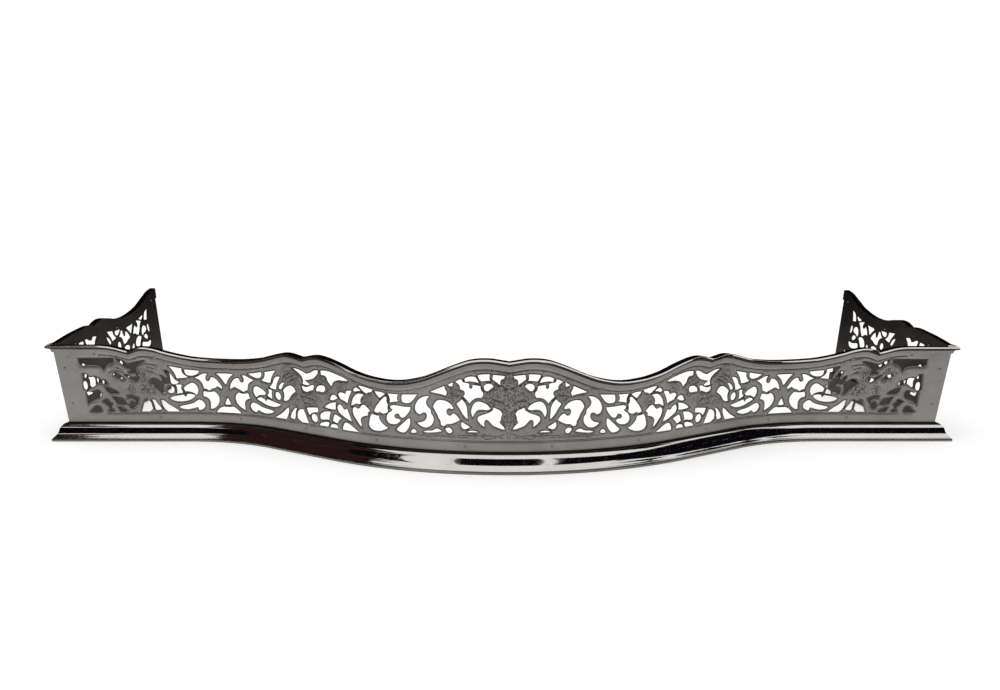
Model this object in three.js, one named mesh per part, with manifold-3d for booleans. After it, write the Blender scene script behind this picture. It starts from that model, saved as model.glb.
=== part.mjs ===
// A serpentine steel fire fender: a pierced plate bowed out at the middle, two pierced ends that run
// straight back to the chimneypiece, a moulded rim over their top edges and a hollow moulded base.
// Flat iron bars behind the base carry the plates and the moulding, and rivets hold it all together.
// Millimetres, +Z up, the front faces -Y. The hearth is z = 0.

import * as THREE from 'three';
import { mergeVertices } from 'three/addons/utils/BufferGeometryUtils.js';
import Module from 'manifold-3d';

const wasm = await Module();
wasm.setup();

// ---------------------------------------------------------------- driving dimensions
const cornerHalfWidth = 632;             // middle to a front corner, at the foot of the plate
const endDepth = 354;                    // front corner to the upright rear edge
const bowDepth = 160;                    // how far the middle stands in front of the corners
const bowRadius = 430;                   // convex curve of the middle
const shoulderRadius = 255;              // hollow curve beside each corner
const bowSweep = THREE.MathUtils.degToRad(31.5); // turn of each of those curves

const lean = 0.094;                      // plates lean out by this much per mm of height
const plateThickness = 2;
const crestHeight = 121.4;               // foot of the front plate to the highest point of its rim
const earHeight = 167.4;                 // foot of an end plate to the top of its rear ear

const baseHeight = 24.4;                 // hearth to the foot of the plates
const mouldingProjection = 17.8;         // foot of the plate to the front of the base moulding
const mouldingWall = 1.5;
const mouldingFoot = 13;                 // width of the turned-in flat that stands on the hearth

const barThickness = 3;
const barBottom = 2;                     // the bars hang clear of the hearth
const barAboveFoot = 11.6;               // how far bar and moulding flange reach up behind the plate

const rimProjection = 7.4;
const rimFace = 10.5;                    // height of the rim's moulded face
const rimWeb = 1.3;                      // thickness over the plate's top edge
const rimFlange = 17.5;                  // rim top to the lower edge of the flange behind the plate
const rimFlangeThickness = 2;

const angleLeg = 16;                     // corner angle iron
const angleThickness = 2;
const angleAboveBar = 2;
const angleBelowRim = 3;                 // gap between the angle's top and the rim's flange

const rivetHeadRadius = 2.2;
const rivetHeadHeight = 1.2;
const rivetShankRadius = 1.1;
const rivetSides = 6;
const rimRivetBelowTop = 14.5;
const baseRivetAboveFoot = 7.1;
const angleRivetInset = 9;               // corner to the rivets of the angle
const angleRivetMargin = 14;             // ends of the angle to its rivets

const clearance = 0.3;                   // gap between pieces that touch
const facetLength = 44;                  // longest flat along a curve of the plan
const outlineTolerance = 0.6;            // how far a thinned outline may leave its points

// ---------------------------------------------------------------- colours
const steel = { color: 0x8c8b88, roughness: 0.34, metalness: 1 };
const brightSteel = { color: 0xb4b2ae, roughness: 0.12, metalness: 1 };
const darkSteel = { color: 0x5a544f, roughness: 0.45, metalness: 1 };
const iron = { color: 0x4a4744, roughness: 0.6, metalness: 1 };

// ---------------------------------------------------------------- the ornament as drawn
// Each opening is a closed outline of [outward from the middle, height above the hearth], smooth
// but for the points marked K, which are sharp. One half is drawn and the other mirrors it.
const K = true;
const readBack = 0.975;                  // mean of the two ends over the nearer one

// Top of the rim over the front: [outward from the middle, height].
const frontCrest = [
  [0, 142.3, K], [10, 144], [22, 145.8], [35, 145.8], [48, 144], [60, 140], [75, 134], [90, 127.5],
  [105, 121.5], [120, 117.3], [135, 114.6], [150, 113.8], [165, 114.8], [180, 116.8], [200, 121.5],
  [220, 128.5], [235, 133], [250, 136.3], [262, 137.5], [275, 136], [289, 132.5, K], [300, 134.5],
  [312, 136.3], [325, 135.5], [340, 132], [360, 126.8], [380, 123], [400, 120.6], [420, 119.5],
  [440, 119.3], [460, 119.8], [480, 121.3], [500, 125], [520, 130], [530, 133.2], [540, 135.5],
  [549, 136.6], [557, 136.2], [564, 134], [571, 131, K], [580, 133.5], [590, 136.3], [600, 138],
  [612, 138.8, K], [667.3, 138.8, K],
];
// The same for an end plate: [back from the front corner, height above the hearth].
const endCrest = [
  [-8, 138.8, K], [0, 139.8], [15, 142.6], [45, 147.5], [75, 151.2], [92, 152.8], [110, 151.8, K], [121, 156],
  [131, 158.5], [142, 159.3], [161, 157.3], [181, 154.3], [202, 152.8], [222, 153.8], [242, 156.8],
  [262, 161.2], [282, 166.8], [301, 174.5], [317, 180.8], [332, 186.8], [354, 191.8, K],
];

// The sizes of the drawing itself: its foot, the corner along the foot, the crest, the end and the ear.
const drawnFoot = 24.4;
const [drawnCorner] = frontCrest[frontCrest.length - 1];
const drawnCrest = Math.max(...frontCrest.map(([, z]) => z)) - drawnFoot;
const [drawnEndDepth, drawnEarTop] = endCrest[endCrest.length - 1];
const drawnEar = drawnEarTop - drawnFoot;

const urnAndFlowers = [
  [[19.3, 125.3, K], [12, 124.6], [5.3, 123.8, K], [6.7, 120.3, K], [10.7, 118], [10.3, 112, K],
    [14.5, 115], [20.5, 119.5, K]],
  [[38.5, 124.7, K], [31, 125.8], [23.5, 125.8, K], [24.2, 121], [22.8, 117.5, K], [28, 117.5],
    [34.2, 116.7, K], [37, 120.5]],
  [[54.7, 119.5, K], [51.5, 121.7], [46, 122.8], [41.5, 122], [39, 119], [37.3, 114.5, K],
    [42, 115.8], [48, 116.5], [53.7, 115.7, K]],
  [[19, 110, K], [21.5, 113], [25.5, 114], [29.5, 112.3], [31, 109.3], [30, 105.8], [27, 104.2],
    [24, 106], [21.3, 108.5]],
  [[66, 115, K], [62, 118], [58.5, 118.7, K], [56.5, 115, K], [52, 114.3], [48.8, 113.5, K],
    [48.8, 108.5], [46.8, 106.8], [45, 108.5], [45, 112, K], [40, 111.5], [35, 110.5, K],
    [34.5, 106], [32, 102], [32.5, 98], [34.3, 95.5, K], [40, 95.3], [44.5, 93], [49, 88, K],
    [52, 92], [56.7, 97, K], [54.5, 99.8], [55.3, 103.5], [60.5, 106, K], [60.7, 110], [63.3, 113.5]],
  [[75.5, 111, K], [72, 113.2], [69, 114.7, K], [70, 109, K], [73, 109.7]],
  [[98.5, 101, K], [89, 105.5], [79.8, 109.7, K], [79, 106], [76.7, 102, K], [78.5, 97, K],
    [84, 98.7], [91, 100]],
  [[44.8, 70, K], [46.7, 75.5], [46, 82], [42.5, 88.5], [38, 90.7], [32, 89.5], [26.5, 86.3],
    [23, 81.3, K], [27, 79.7], [33, 80.2], [38.5, 79.5], [42, 76.3]],
  [[65.3, 86.8, K], [61.5, 90], [58.3, 93, K], [54.5, 88.5], [52.3, 82.5], [51.8, 76],
    [51.3, 67, K], [55.5, 71], [59, 76.3], [62, 81.8]],
  [[19, 83.3, K], [15, 81.3], [11, 79.3], [8.5, 75], [9.8, 71], [10.3, 66.5], [12, 64.3, K],
    [10, 61.5], [7, 58.5], [5, 54.5, K], [9, 55], [14, 57], [19, 59], [22.5, 62.5], [26, 66.3],
    [28.8, 67], [30.8, 64.5], [30.2, 57.5, K], [35, 61], [38.7, 66], [38, 70.5], [33, 73.3],
    [28, 75], [23, 77.5], [20, 80]],
  [[58.7, 63.5, K], [59.7, 58.5], [57.5, 54.5], [54, 54.3], [48.3, 57, K], [52, 59.3], [55.5, 61.5]],
  [[53.3, 50.2, K], [47.5, 52.3], [42, 52], [37.3, 50.3, K]],
  [[80.2, 53.7, K], [77, 55.3], [74, 55], [71.3, 52, K], [72.5, 49], [75.5, 48], [78.5, 50]],
];
const innerScrolls = [
  [[99.5, 95.5, K], [105, 95], [111.5, 92], [116.5, 86.5], [119, 79.5], [117.5, 73.5], [112.5, 71],
    [109.5, 73.3], [105.5, 73.3], [103.7, 70], [104.7, 65.5], [108, 62], [117, 59.7, K], [114, 56.7],
    [108.5, 54], [103, 54.5], [97.5, 58.5], [94.8, 64], [95.5, 69.5], [98, 73.5], [98.3, 78],
    [102, 82], [104, 86.5], [103, 91]],
  [[95, 81.5, K], [93, 86.5], [89, 90.5], [84, 91.2], [78, 90], [72.5, 86.5], [68.7, 81, K],
    [71.5, 80], [75.5, 80.8], [78, 77.5], [77, 73], [73.5, 71.2], [69.7, 74.5, K], [66, 72.5],
    [63, 69], [61.5, 66, K], [66.5, 63], [73, 60.3], [78, 59.8], [81.5, 57, K], [85.5, 58.5],
    [86, 63], [88.5, 67.5], [89.8, 71.5], [92, 75.5]],
  [[109.8, 48, K], [104, 49.8], [97.5, 50.5], [92, 53], [89, 53], [84.3, 50.3, K], [90, 48.8],
    [97, 47.8], [104, 47.2]],
  [[126.3, 45.8, K], [125, 48.5], [122, 51], [119.7, 50], [118, 47, K], [121, 45.7]],
  [[126.5, 65, K], [126.3, 59], [128, 53.5], [131, 48.8], [135, 45.3], [139.5, 45], [144, 46.5],
    [145.8, 48.7, K], [140.5, 53.7], [134.5, 59], [129.8, 63.2]],
  [[124.8, 79.7, K], [132, 79.6], [140, 80.2], [147, 80.7], [152, 79.5, K], [153, 76.5],
    [150.5, 74.5], [152, 71.7], [156, 69.5], [158.7, 65], [159.3, 60.5], [157, 56.5], [153, 55],
    [147, 55.3], [142, 58], [139.3, 61, K], [142, 63], [145.8, 63.3], [147.7, 66], [146, 69],
    [142.5, 69.7], [140.3, 66.5], [138.3, 64.5, K], [133.5, 66.3], [129, 71], [126, 75.5]],
  [[135.7, 95.6, K], [126, 96.2], [115.5, 97, K], [119, 92], [123.5, 87], [128, 84.8],
    [133, 84.7], [136.3, 86, K], [136.7, 91]],
  [[156, 95.3, K], [148, 95.4], [140.3, 95.4, K], [142.7, 91], [141, 86, K], [147, 85.3],
    [153.5, 83.8, K], [153, 88], [154, 92]],
  [[174.5, 96.8, K], [166, 96.8], [159.3, 94.7, K], [163, 91.7], [168, 88.5, K], [171.5, 92.5]],
  [[159.5, 91], [157, 89.5], [157.8, 86], [155.8, 81, K], [156.7, 76], [156.5, 71.5], [160, 69],
    [164.5, 68], [169, 70, K], [173, 68.3], [177, 70, K], [174.5, 75], [170, 81], [165, 86.5]],
  [[180.3, 66.5, K], [175, 65], [169.8, 64.7, K], [169, 60], [166, 55.5], [162, 52],
    [157.5, 49.7, K], [162.5, 46.8], [169, 44.3], [176, 43.8], [182, 45], [186, 50], [185, 56],
    [183.5, 61.5]],
  [[198.8, 102.5, K], [190.5, 101.8], [176.5, 98.7, K], [180, 95.3], [183.5, 94.7],
    [186.5, 92.5, K], [190.5, 94.5], [195, 98.3]],
  [[207, 94.4, K], [205.5, 97.5], [201, 99.3], [194.5, 95.3, K], [200, 95], [204.5, 93.8]],
  [[190.5, 90.7, K], [195.5, 91.7], [200.5, 91], [205.5, 87.5], [209.5, 82], [212, 73.5, K],
    [207.5, 76], [203, 77.7], [199, 77.2], [195.7, 78.7, K], [196.3, 83], [194.5, 87]],
  [[210, 69.5, K], [207.5, 72], [204, 72.5], [201.5, 71], [198.5, 72, K], [195.5, 75.5],
    [191.5, 77.2], [187.5, 75], [182.7, 69.8, K], [186, 67.2], [186, 63.3, K], [190, 62.5],
    [195, 60.7], [198, 56.5], [197.5, 51.5], [196.3, 45.8, K], [201, 49], [205, 54.5],
    [208.8, 60], [210.3, 65]],
];
const innerBeast = [
  [[229.7, 38.5, K], [228, 44.5], [224.5, 48.7], [220, 49.2], [214.5, 47], [208.5, 43], [201.5, 38.5, K]],
  [[230.5, 73.8, K], [234.5, 71], [235.7, 66.5], [233.5, 62], [227.5, 58], [220, 54],
    [212.3, 51.8, K], [214.5, 58], [217, 65], [218.7, 69.5, K], [222.5, 67.3], [225.3, 69.3, K],
    [227, 71.7]],
  [[232.5, 86, K], [230.5, 89], [226, 90.3], [220, 89, K], [218, 92.8], [214, 94], [209, 94, K],
    [211.5, 90], [214.5, 84.5], [216.5, 79], [218.3, 75, K], [221, 78], [225.5, 79.8], [229.3, 81, K]],
  [[247.5, 78, K], [245.5, 82.5], [241.5, 85.3], [237.5, 85.2], [233, 82, K], [238.5, 79.3], [243, 77.6]],
  [[258, 66.3, K], [253, 70.3], [247, 73], [241.5, 74.8], [236.3, 75.2, K], [237.8, 71],
    [237.8, 66.3, K], [242, 65], [250, 65]],
  [[242, 58, K], [238.5, 58.3], [229.7, 54.2, K], [234, 51], [238, 46.7], [242, 47], [246, 49, K],
    [244, 54]],
  [[251.7, 39.2, K], [249.5, 42.5], [245.5, 44.3], [240, 44.3], [237.5, 42.5], [237, 39.2, K]],
  [[271.3, 39.2, K], [267.5, 42.7], [261, 45], [256.5, 46.2], [252, 45.5, K], [253, 42],
    [255.8, 39.2, K]],
  [[267.7, 48.3, K], [267.5, 54.5], [263, 58], [256.5, 60.5], [247.5, 61.5, K], [249.7, 56],
    [251.7, 48.7, K], [257, 49.3], [262, 48.3]],
  [[260, 116.3, K], [250, 117.3], [240, 116], [230, 113.6], [220, 110.7], [213, 107.2, K],
    [221, 106.6], [229, 106.6], [235.5, 104.8], [240, 100.8], [242.5, 95.5, K], [246, 99.5],
    [249, 103], [250, 107.3, K], [253, 110.3, K], [260, 110.8, K]],
  [[271.3, 87.2, K], [270, 91.5], [265.5, 95], [259, 96.3], [254.7, 95.5], [253.8, 92],
    [256, 88.3], [261, 87], [266.5, 87.3]],
  [[310.5, 115.3, K], [303, 115.2], [295, 113.3], [285, 109.8, K], [279, 111.7], [272.5, 115],
    [267.5, 116.5], [263.5, 115.7, K], [266.5, 110.5], [273, 105], [280.5, 102.5], [289.5, 100.7, K],
    [285, 98], [281, 96, K], [284.5, 94], [295, 94.7, K], [293.5, 99.5], [295.5, 104.7],
    [300, 109], [305.5, 112.3]],
  [[296, 93.3, K], [291, 91.2], [286.5, 91.3], [281.5, 93.3], [274, 95.5, K], [274, 91.5],
    [276.3, 88, K], [282, 86.7], [287.5, 84.5], [292.5, 84.7], [296.5, 88, K]],
  [[291.7, 61.5, K], [281, 63], [270.3, 64.2, K], [270.2, 60], [271.3, 56.8, K], [277, 57],
    [283, 54.8], [287, 50.8, K], [289.8, 55.5]],
  [[297, 58.8, K], [294, 51.5], [289.3, 39.3, K], [303.5, 39.3, K], [310.3, 43.8, K],
    [310.3, 49], [308.5, 54], [304, 57.5]],
  [[308.7, 58.7, K], [311.8, 54], [312.8, 48], [315, 43, K], [319, 42], [324.3, 43.5, K],
    [321.5, 49.5], [317.5, 54.5], [313, 58.3]],
  [[324.7, 58, K], [325.5, 51], [328.5, 45], [332, 40, K], [354.5, 40, K], [346, 44], [338, 49],
    [330, 55.3]],
  [[308.7, 82.3, K], [310.5, 86.5], [314.5, 89.5], [320, 89.5], [327, 86.5], [333.7, 81, K],
    [332, 75], [333, 70], [334.7, 67, K], [328, 67.3], [322.5, 70.5], [318.5, 75.5], [313.5, 79.5]],
  [[328, 93.2, K], [331.5, 89.5], [334.5, 84.5], [335.5, 81.8, K], [341.7, 83.2, K], [339, 88],
    [334.5, 91.5]],
  [[336, 100.3, K], [340, 95], [343.5, 89.5], [345.5, 82, K], [351.5, 81.3], [359, 83.3, K],
    [354.5, 87.3], [351.8, 90.5], [349.5, 95], [344.5, 99.3]],
  [[366, 104.2, K], [357, 106], [343.5, 108.7, K], [348.5, 103.5], [352.5, 98], [355.3, 90.3, K],
    [362, 89.8], [373, 91.8, K], [368.5, 95.5], [366.3, 99.5]],
  [[362.8, 80, K], [358.5, 80.2], [354.3, 79.8, K], [355.2, 73.5], [355, 66.7, K], [360, 67.7],
    [365.3, 71, K], [361.8, 74.8]],
];
const middleScrolls = [
  [[390.5, 58, K], [395, 55.8], [397, 52], [395.5, 47.5], [391.5, 44.5], [387, 44, K],
    [383.5, 47.5, K], [378.5, 45], [370.5, 43.7], [362, 45], [354, 48.3, K], [361, 50.2],
    [369, 51.3], [377, 53], [384, 56]],
  [[384.5, 63.5, K], [380, 66.2], [375.5, 66.5], [370, 64.7, K], [368, 62, K], [366, 65.2, K],
    [360, 64.5], [353, 62.7], [346, 61.3], [339, 60.5, K], [345, 57.3], [353, 55.3], [361, 55.2],
    [369, 56.7], [377, 60]],
  [[389.8, 75], [387.5, 80.5], [382, 82.5], [376, 80.3], [370.5, 77.7], [366.3, 73.5, K],
    [370.5, 70.3, K], [376, 70.5], [380.5, 69.3], [385, 66, K], [388.5, 69.5]],
  [[396, 99.8, K], [384, 101.5], [372, 104, K], [371.5, 99.5], [375, 95.7], [381.5, 94.5], [388, 95.8]],
  [[413.5, 71, K], [408, 69.6], [402.5, 70.3], [398.5, 71, K], [397.5, 67], [395.5, 63, K],
    [400.5, 62.3], [404.5, 59], [406, 54], [405.3, 45, K], [410.5, 47.2], [415.5, 50.3],
    [419.5, 55], [421.3, 61], [420, 66], [417, 69.5]],
  [[428.7, 75.3, K], [427.5, 81], [423.5, 87.5], [418, 91.5], [412.5, 92], [410.7, 88], [408, 86],
    [405, 87.8], [404.8, 91.5], [407, 96.2, K], [401.5, 96.7], [395.5, 94.2], [386.5, 90.8, K],
    [393, 88], [396.8, 84.5], [398.2, 80], [399.3, 75.3, K], [403.5, 74.3], [407, 72.3],
    [411.5, 74.5], [417, 77], [421, 79, K], [425, 77.3]],
  [[453, 39.5, K], [449, 44.5], [443, 48], [437, 48.5], [431, 48.5], [425, 49], [418.5, 45],
    [413, 39.5, K]],
  [[433.8, 62.5, K], [431, 58], [428.8, 53, K], [433.5, 51.5], [438.7, 52.5, K], [436.3, 58]],
  [[449, 97.5, K], [435, 98], [421, 97.5, K], [426, 94], [430, 89.5], [433, 84], [435, 81.3, K],
    [437.5, 84.5], [441.5, 90.5], [445, 94.5]],
  [[469, 71.2, K], [464.5, 70.2], [459.5, 70], [453.5, 71, K], [449, 67], [446.3, 61],
    [447.5, 54.5], [451.5, 49], [456.5, 45.5], [461.5, 44.8, K], [461, 50], [461.3, 56],
    [464.5, 61], [470.3, 62.8, K], [470.8, 67]],
  [[482, 90.5, K], [476, 93], [470, 96.2], [465.5, 97.2], [462.5, 96.5, K], [465, 92],
    [464.8, 87.5], [461.5, 85.8], [459, 88], [457.8, 91], [454.5, 92], [449, 89], [444.5, 83.5],
    [441, 78], [441.5, 75, K], [448.8, 78.7, K], [452, 76.2], [457, 74.8], [461.5, 72], [465, 74],
    [469, 74.7, K], [470.5, 80.5], [473.5, 86], [477.5, 89]],
  [[495.5, 102.8, K], [485, 102], [474, 101, K], [476.5, 97], [482, 94.5], [488, 93.7], [494, 96]],
  [[507, 47.5, K], [500, 49.5], [492, 51.2], [485, 53.5], [480, 57], [476.5, 58], [471.5, 55],
    [469, 50], [471, 45.5], [478.5, 42.2, K], [481, 47, K], [487, 45], [494, 43.5], [501, 44],
    [505.5, 45.5]],
  [[498.5, 74.5, K], [496, 78], [491, 81], [486, 83.2], [481, 81], [477.8, 75.5], [478, 69],
    [481.5, 64.8, K], [484.5, 67.8], [489.5, 69.8], [497, 70.5, K]],
  [[519.5, 60.5, K], [513, 63], [505, 64.5], [499, 65.5, K], [496.5, 62, K], [494.5, 66, K],
    [488, 66.5], [482.5, 64.5, K], [486, 60.5], [493, 57], [501, 55.5], [509, 55.5], [516, 57.5]],
  [[509.5, 80.5, K], [505, 80.5], [500.5, 80, K], [502, 75], [500, 70], [500.5, 68, K],
    [505, 67.5], [509, 66.5, K], [508, 73]],
];
const outerBeast = [
  [[547, 82.5, K], [544.5, 87.5], [540, 89.5], [533, 87.5], [525.5, 82, K], [527, 76],
    [526.5, 71], [525, 67, K], [530.5, 69], [535, 75], [540, 80.5]],
  [[529.5, 94, K], [525, 92], [520.5, 88], [518.5, 84, K], [521.5, 82.5], [525, 85.5]],
  [[524, 101, K], [519.5, 100.5], [514.5, 95], [510, 88], [504.5, 84.5, K], [508.5, 81.5],
    [514.5, 81.5], [517, 87], [519.5, 93.5]],
  [[518, 108, K], [508, 106], [499.5, 104.5, K], [499, 99], [496, 95], [490.5, 91.5, K],
    [498, 90.5], [507.5, 90, K], [509, 95], [512, 101], [515, 105]],
  [[532, 57.5, K], [528.5, 57], [522, 51.5], [513, 45.5], [506.5, 40, K], [523.5, 40, K],
    [528, 44], [531, 50]],
  [[545.5, 58, K], [541, 57.5], [537.5, 52], [533.5, 47], [532, 44, K], [536.5, 42.5], [541, 43],
    [542.5, 49], [544, 54.5]],
  [[562, 40, K], [559, 47], [557, 54], [555, 58], [551, 58], [547, 54], [545.5, 48],
    [545, 44.5, K], [549.5, 40, K]],
  [[580, 64, K], [573, 64], [567, 62], [563, 60.5, K], [564.5, 57], [566, 54, K], [568.5, 58],
    [573, 60.5], [580, 60.5, K]],
  [[589.5, 118, K], [585, 117], [580, 114.5], [575, 110.5, K], [568, 112], [560, 114],
    [550, 115.5, K], [556, 111.5], [561, 108], [564, 103], [563, 97, K], [569, 98], [575, 98.5],
    [572, 103], [577, 105.5], [581, 109], [586, 113]],
  [[581, 95.5, K], [575, 93.5], [569, 90.5], [565, 91.5], [563, 94, K], [560.5, 92], [562, 87],
    [566, 85, K], [571, 88.5], [576, 91.5]],
  [[597, 94.5, K], [595, 97.5], [592, 97], [588, 95], [584, 91.5], [580, 88, K], [586, 89],
    [592, 91.5]],
  [[609.5, 76.5, K], [603, 75], [596, 71.5], [591.5, 68, K], [598, 68], [605, 68.5]],
  [[601, 62, K], [594, 61], [587, 59.5], [583.5, 56], [582, 51.5, K], [589, 51.5], [595, 53],
    [597.5, 58]],
  [[594.5, 46.5, K], [589, 46], [584, 43.5], [580.5, 40, K], [591.5, 40, K], [592.5, 43]],
  [[609, 40, K], [607.5, 44], [604, 45], [600.5, 42.5], [599.5, 40, K]],
  [[616.5, 55, K], [611, 58], [607.5, 58, K], [605, 54], [602, 51.5], [606, 48], [610, 50], [612, 53]],
  [[635, 40, K], [631, 44.5], [626, 48], [620.5, 47.5], [618, 44], [618.5, 40, K]],
  [[638, 68, K], [634, 70], [630, 69], [625, 71], [619, 71.5], [616.5, 67], [618, 62],
    [624, 59.5], [630, 56.5], [637, 50, K], [637.5, 60]],
  [[640, 96, K], [634, 95.5], [631, 91.5], [624, 92], [618, 90], [613, 86.5], [609.5, 87],
    [605, 81, K], [612, 81.5], [618, 83], [624, 79], [631, 75], [637, 71.5, K], [640.5, 76],
    [640.5, 86]],
  [[643.5, 118.5, K], [594.5, 118.5, K], [595, 113.5], [600, 112], [605, 108], [609, 101, K],
    [613, 107], [620, 109], [630, 109.5], [635, 109], [639, 108.5], [643, 113, K]],
];
// Round eyes of the scrolls: [outward, height, radius].
const frontEyes = [[573.3, 50.3, 4.9], [517, 73, 5.5], [343.5, 72.3, 5.7], [278.3, 48.7, 5.8]];

// Openings of an end plate that the photograph shows, apart from the last one, which stands in
// for one that the front hides: [back from the front corner, height]. They were read on the nearer
// side; readBack brings them to the mean of the two sides.
const endScrolls = [
  [[58, 127, K], [64, 132], [70, 134.3], [75, 133, K], [77.5, 127], [76, 119], [70, 116],
    [62, 116], [57, 120]],
  [[80.5, 133.5, K], [87, 133.7], [92, 131.5], [98, 129.5], [100.5, 129.7, K], [105.5, 134],
    [112, 137], [119, 138.8], [124.5, 138, K], [119, 132], [113.5, 127], [110.5, 121], [106, 117],
    [98, 115.5], [90, 118], [84, 124]],
  [[150.3, 127.5, K], [157, 126], [162.5, 122.5], [166, 116.5, K], [161, 114.5], [156, 118],
    [152.5, 122.5]],
  [[155, 136, K], [166, 135.3], [176.7, 135.3, K], [177, 130], [180, 126], [186, 123, K],
    [179, 120.3], [168, 118.8, K], [166.5, 123.5], [162, 128.5], [157.5, 132.8]],
  [[183, 134, K], [193, 134.3], [203.5, 134.6, K], [198, 129], [190.5, 126], [184, 127],
    [181, 130.5]],
  [[194.5, 123, K], [199.5, 127], [203.5, 131.5], [211.5, 131.3, K], [212.3, 126], [215.3, 121],
    [218, 124.5], [219.3, 128.7, K], [226, 127.3], [232, 123], [237.5, 116.5, K], [229, 114],
    [222, 110.5], [214, 108.7], [208, 110], [206.5, 115], [203.5, 120]],
  [[185.5, 109, K], [188.5, 113.5], [194, 114.8], [198.5, 112], [200, 106, K], [193, 103.5]],
  [[209, 103, K], [218, 105.3], [228, 103.8], [231, 100, K], [222, 94], [212, 96]],
  [[225.5, 133.5, K], [236, 137.3], [247, 139.2], [255.5, 139.8, K], [250, 132.5], [243.5, 122, K],
    [238.5, 124.3], [232.5, 129]],
  [[248, 117.8, K], [250, 124], [254.5, 131], [259, 134], [265.8, 130, K], [270.5, 134],
    [265.5, 141.3, K], [277, 140.8], [289, 138, K], [282.5, 132], [279, 125], [272, 116.7, K],
    [264, 118], [257, 120.8]],
  [[275.5, 145.5, K], [285, 149.5], [294, 150.8], [299, 146.5, K], [291.5, 141.3], [283, 142.5]],
  [[321.5, 159.5, K], [312.5, 158.5], [305.5, 152], [301.5, 145], [300, 139.5, K], [315, 139, K],
    [317, 147]],
  [[283, 118], [285, 124.5], [290, 129.3], [298, 129.7], [304, 127], [307, 122, K], [301, 118.3],
    [295, 117], [290, 113.5, K], [285.5, 114.3]],
  [[309.5, 129.8, K], [316, 130], [319, 123], [319.5, 117, K], [312.5, 118], [309, 123]],
  [[290.5, 111, K], [297, 114.5], [304, 113], [308.3, 107.5], [303, 105], [296, 107]],
  [[253, 100.5, K], [256, 108], [262.5, 112.8], [272, 114.5], [282.5, 111, K], [277, 105],
    [272, 97.5, K], [262, 97.5]],
  [[278, 96, K], [282, 101.5], [292, 100.7], [302, 99.5], [311, 100.8], [319.5, 100.3, K],
    [315, 93.5], [305, 90.5], [290, 91.5], [282, 92.5]],
  [[236, 96, K], [243, 104], [249, 103], [247, 93], [240, 88]],
];
// Lower openings near the corner, as seen through the front plate.
const endLowScrolls = [
  [[59.5, 79.5, K], [64, 85], [69, 83], [68, 78.5, K], [63, 77]],
  [[70, 76.5, K], [80, 75.5], [89, 73.5], [92.5, 69], [91, 61, K], [84, 59.5], [77, 60.5],
    [72, 65, K], [73.5, 71]],
  [[53.5, 72, K], [60, 73], [66, 69], [66.5, 62], [60, 59.5], [54, 62]],
  [[59, 56.5, K], [66, 57.5], [74, 55.5], [79, 51, K], [70, 50], [62, 51]],
  [[95, 69.5], [99.5, 70.5], [102.5, 67], [101, 63, K], [96.5, 63.5]],
  [[110.5, 62.5, K], [115, 64.5], [119, 61.5], [117, 57.5, K], [112, 58.5]],
  [[56.5, 95.5, K], [60, 99.5], [66, 98.5], [70, 94.5, K], [63, 92.5]],
  [[159.5, 86], [164, 90.5], [170, 88.5], [172, 83.5, K], [165, 82]],
  [[176.5, 80], [181, 84], [187, 82], [190, 77, K], [182, 75]],
  [[139.5, 66, K], [145, 70.5], [152, 70.5], [156, 66, K], [148, 62.5]],
];
// Openings along the foot that no view shows, drawn in the same style.
const endFoot = [
  [[96, 39, K], [100, 46], [108, 50], [114, 45], [118, 39, K]],
  [[160, 39, K], [166, 52], [176, 57], [184, 50], [188, 39, K]],
  [[196, 39, K], [194, 48], [200, 55], [207, 50], [211, 39, K]],
  [[240, 39, K], [246, 50], [258, 56], [270, 50], [276, 39, K]],
  [[284, 39, K], [285, 50], [294, 56], [306, 52], [318, 44], [322, 39, K]],
  [[290, 62, K], [300, 72], [312, 80], [322, 84, K], [326, 72], [322, 60], [306, 56]],
];

// ---------------------------------------------------------------- the plan of the front
const rampLength = (bowDepth - (bowRadius + shoulderRadius) * (1 - Math.cos(bowSweep)))
  / Math.sin(bowSweep);
const bowArc = bowRadius * bowSweep;
const shoulderStart = bowArc + rampLength;
const shoulderArc = shoulderRadius * bowSweep;
const cornerRun = (bowRadius + shoulderRadius) * Math.sin(bowSweep) + rampLength * Math.cos(bowSweep);
const cornerArc = shoulderStart + shoulderArc + cornerHalfWidth - cornerRun;
const mitreGap = clearance / Math.SQRT2; // cut back from the mitre, along each piece

// Foot of the plate at a distance u from the middle, and the turn of its outward normal.
function planPoint(u) {
  if (u <= bowArc) {
    const turn = u / bowRadius;
    return { x: bowRadius * Math.sin(turn), y: bowRadius * (1 - Math.cos(turn)) - bowDepth, turn };
  }
  if (u <= shoulderStart) {
    const arcEnd = planPoint(bowArc);
    const run = u - bowArc;
    return {
      x: arcEnd.x + run * Math.cos(bowSweep), y: arcEnd.y + run * Math.sin(bowSweep), turn: bowSweep,
    };
  }
  if (u <= shoulderStart + shoulderArc) {
    const turn = bowSweep - (u - shoulderStart) / shoulderRadius;
    return {
      x: cornerRun - shoulderRadius * Math.sin(turn), y: -shoulderRadius * (1 - Math.cos(turn)), turn,
    };
  }
  return { x: cornerHalfWidth + u - cornerArc, y: 0, turn: 0 };
}

// Where the faceted plan bends: equal steps round each curve, none along the straights.
function planBends() {
  const bowSteps = Math.ceil(bowArc / facetLength);
  const shoulderSteps = Math.ceil(shoulderArc / facetLength);
  const half = [];
  for (let i = 1; i <= bowSteps; i += 1) half.push(bowArc * i / bowSteps);
  for (let i = 0; i <= shoulderSteps; i += 1) half.push(shoulderStart + shoulderArc * i / shoulderSteps);
  return [...half.map((u) => -u).reverse(), 0, ...half];
}
const bends = planBends();
const planEdges = [-2 * cornerArc, ...bends, 2 * cornerArc];

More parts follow.
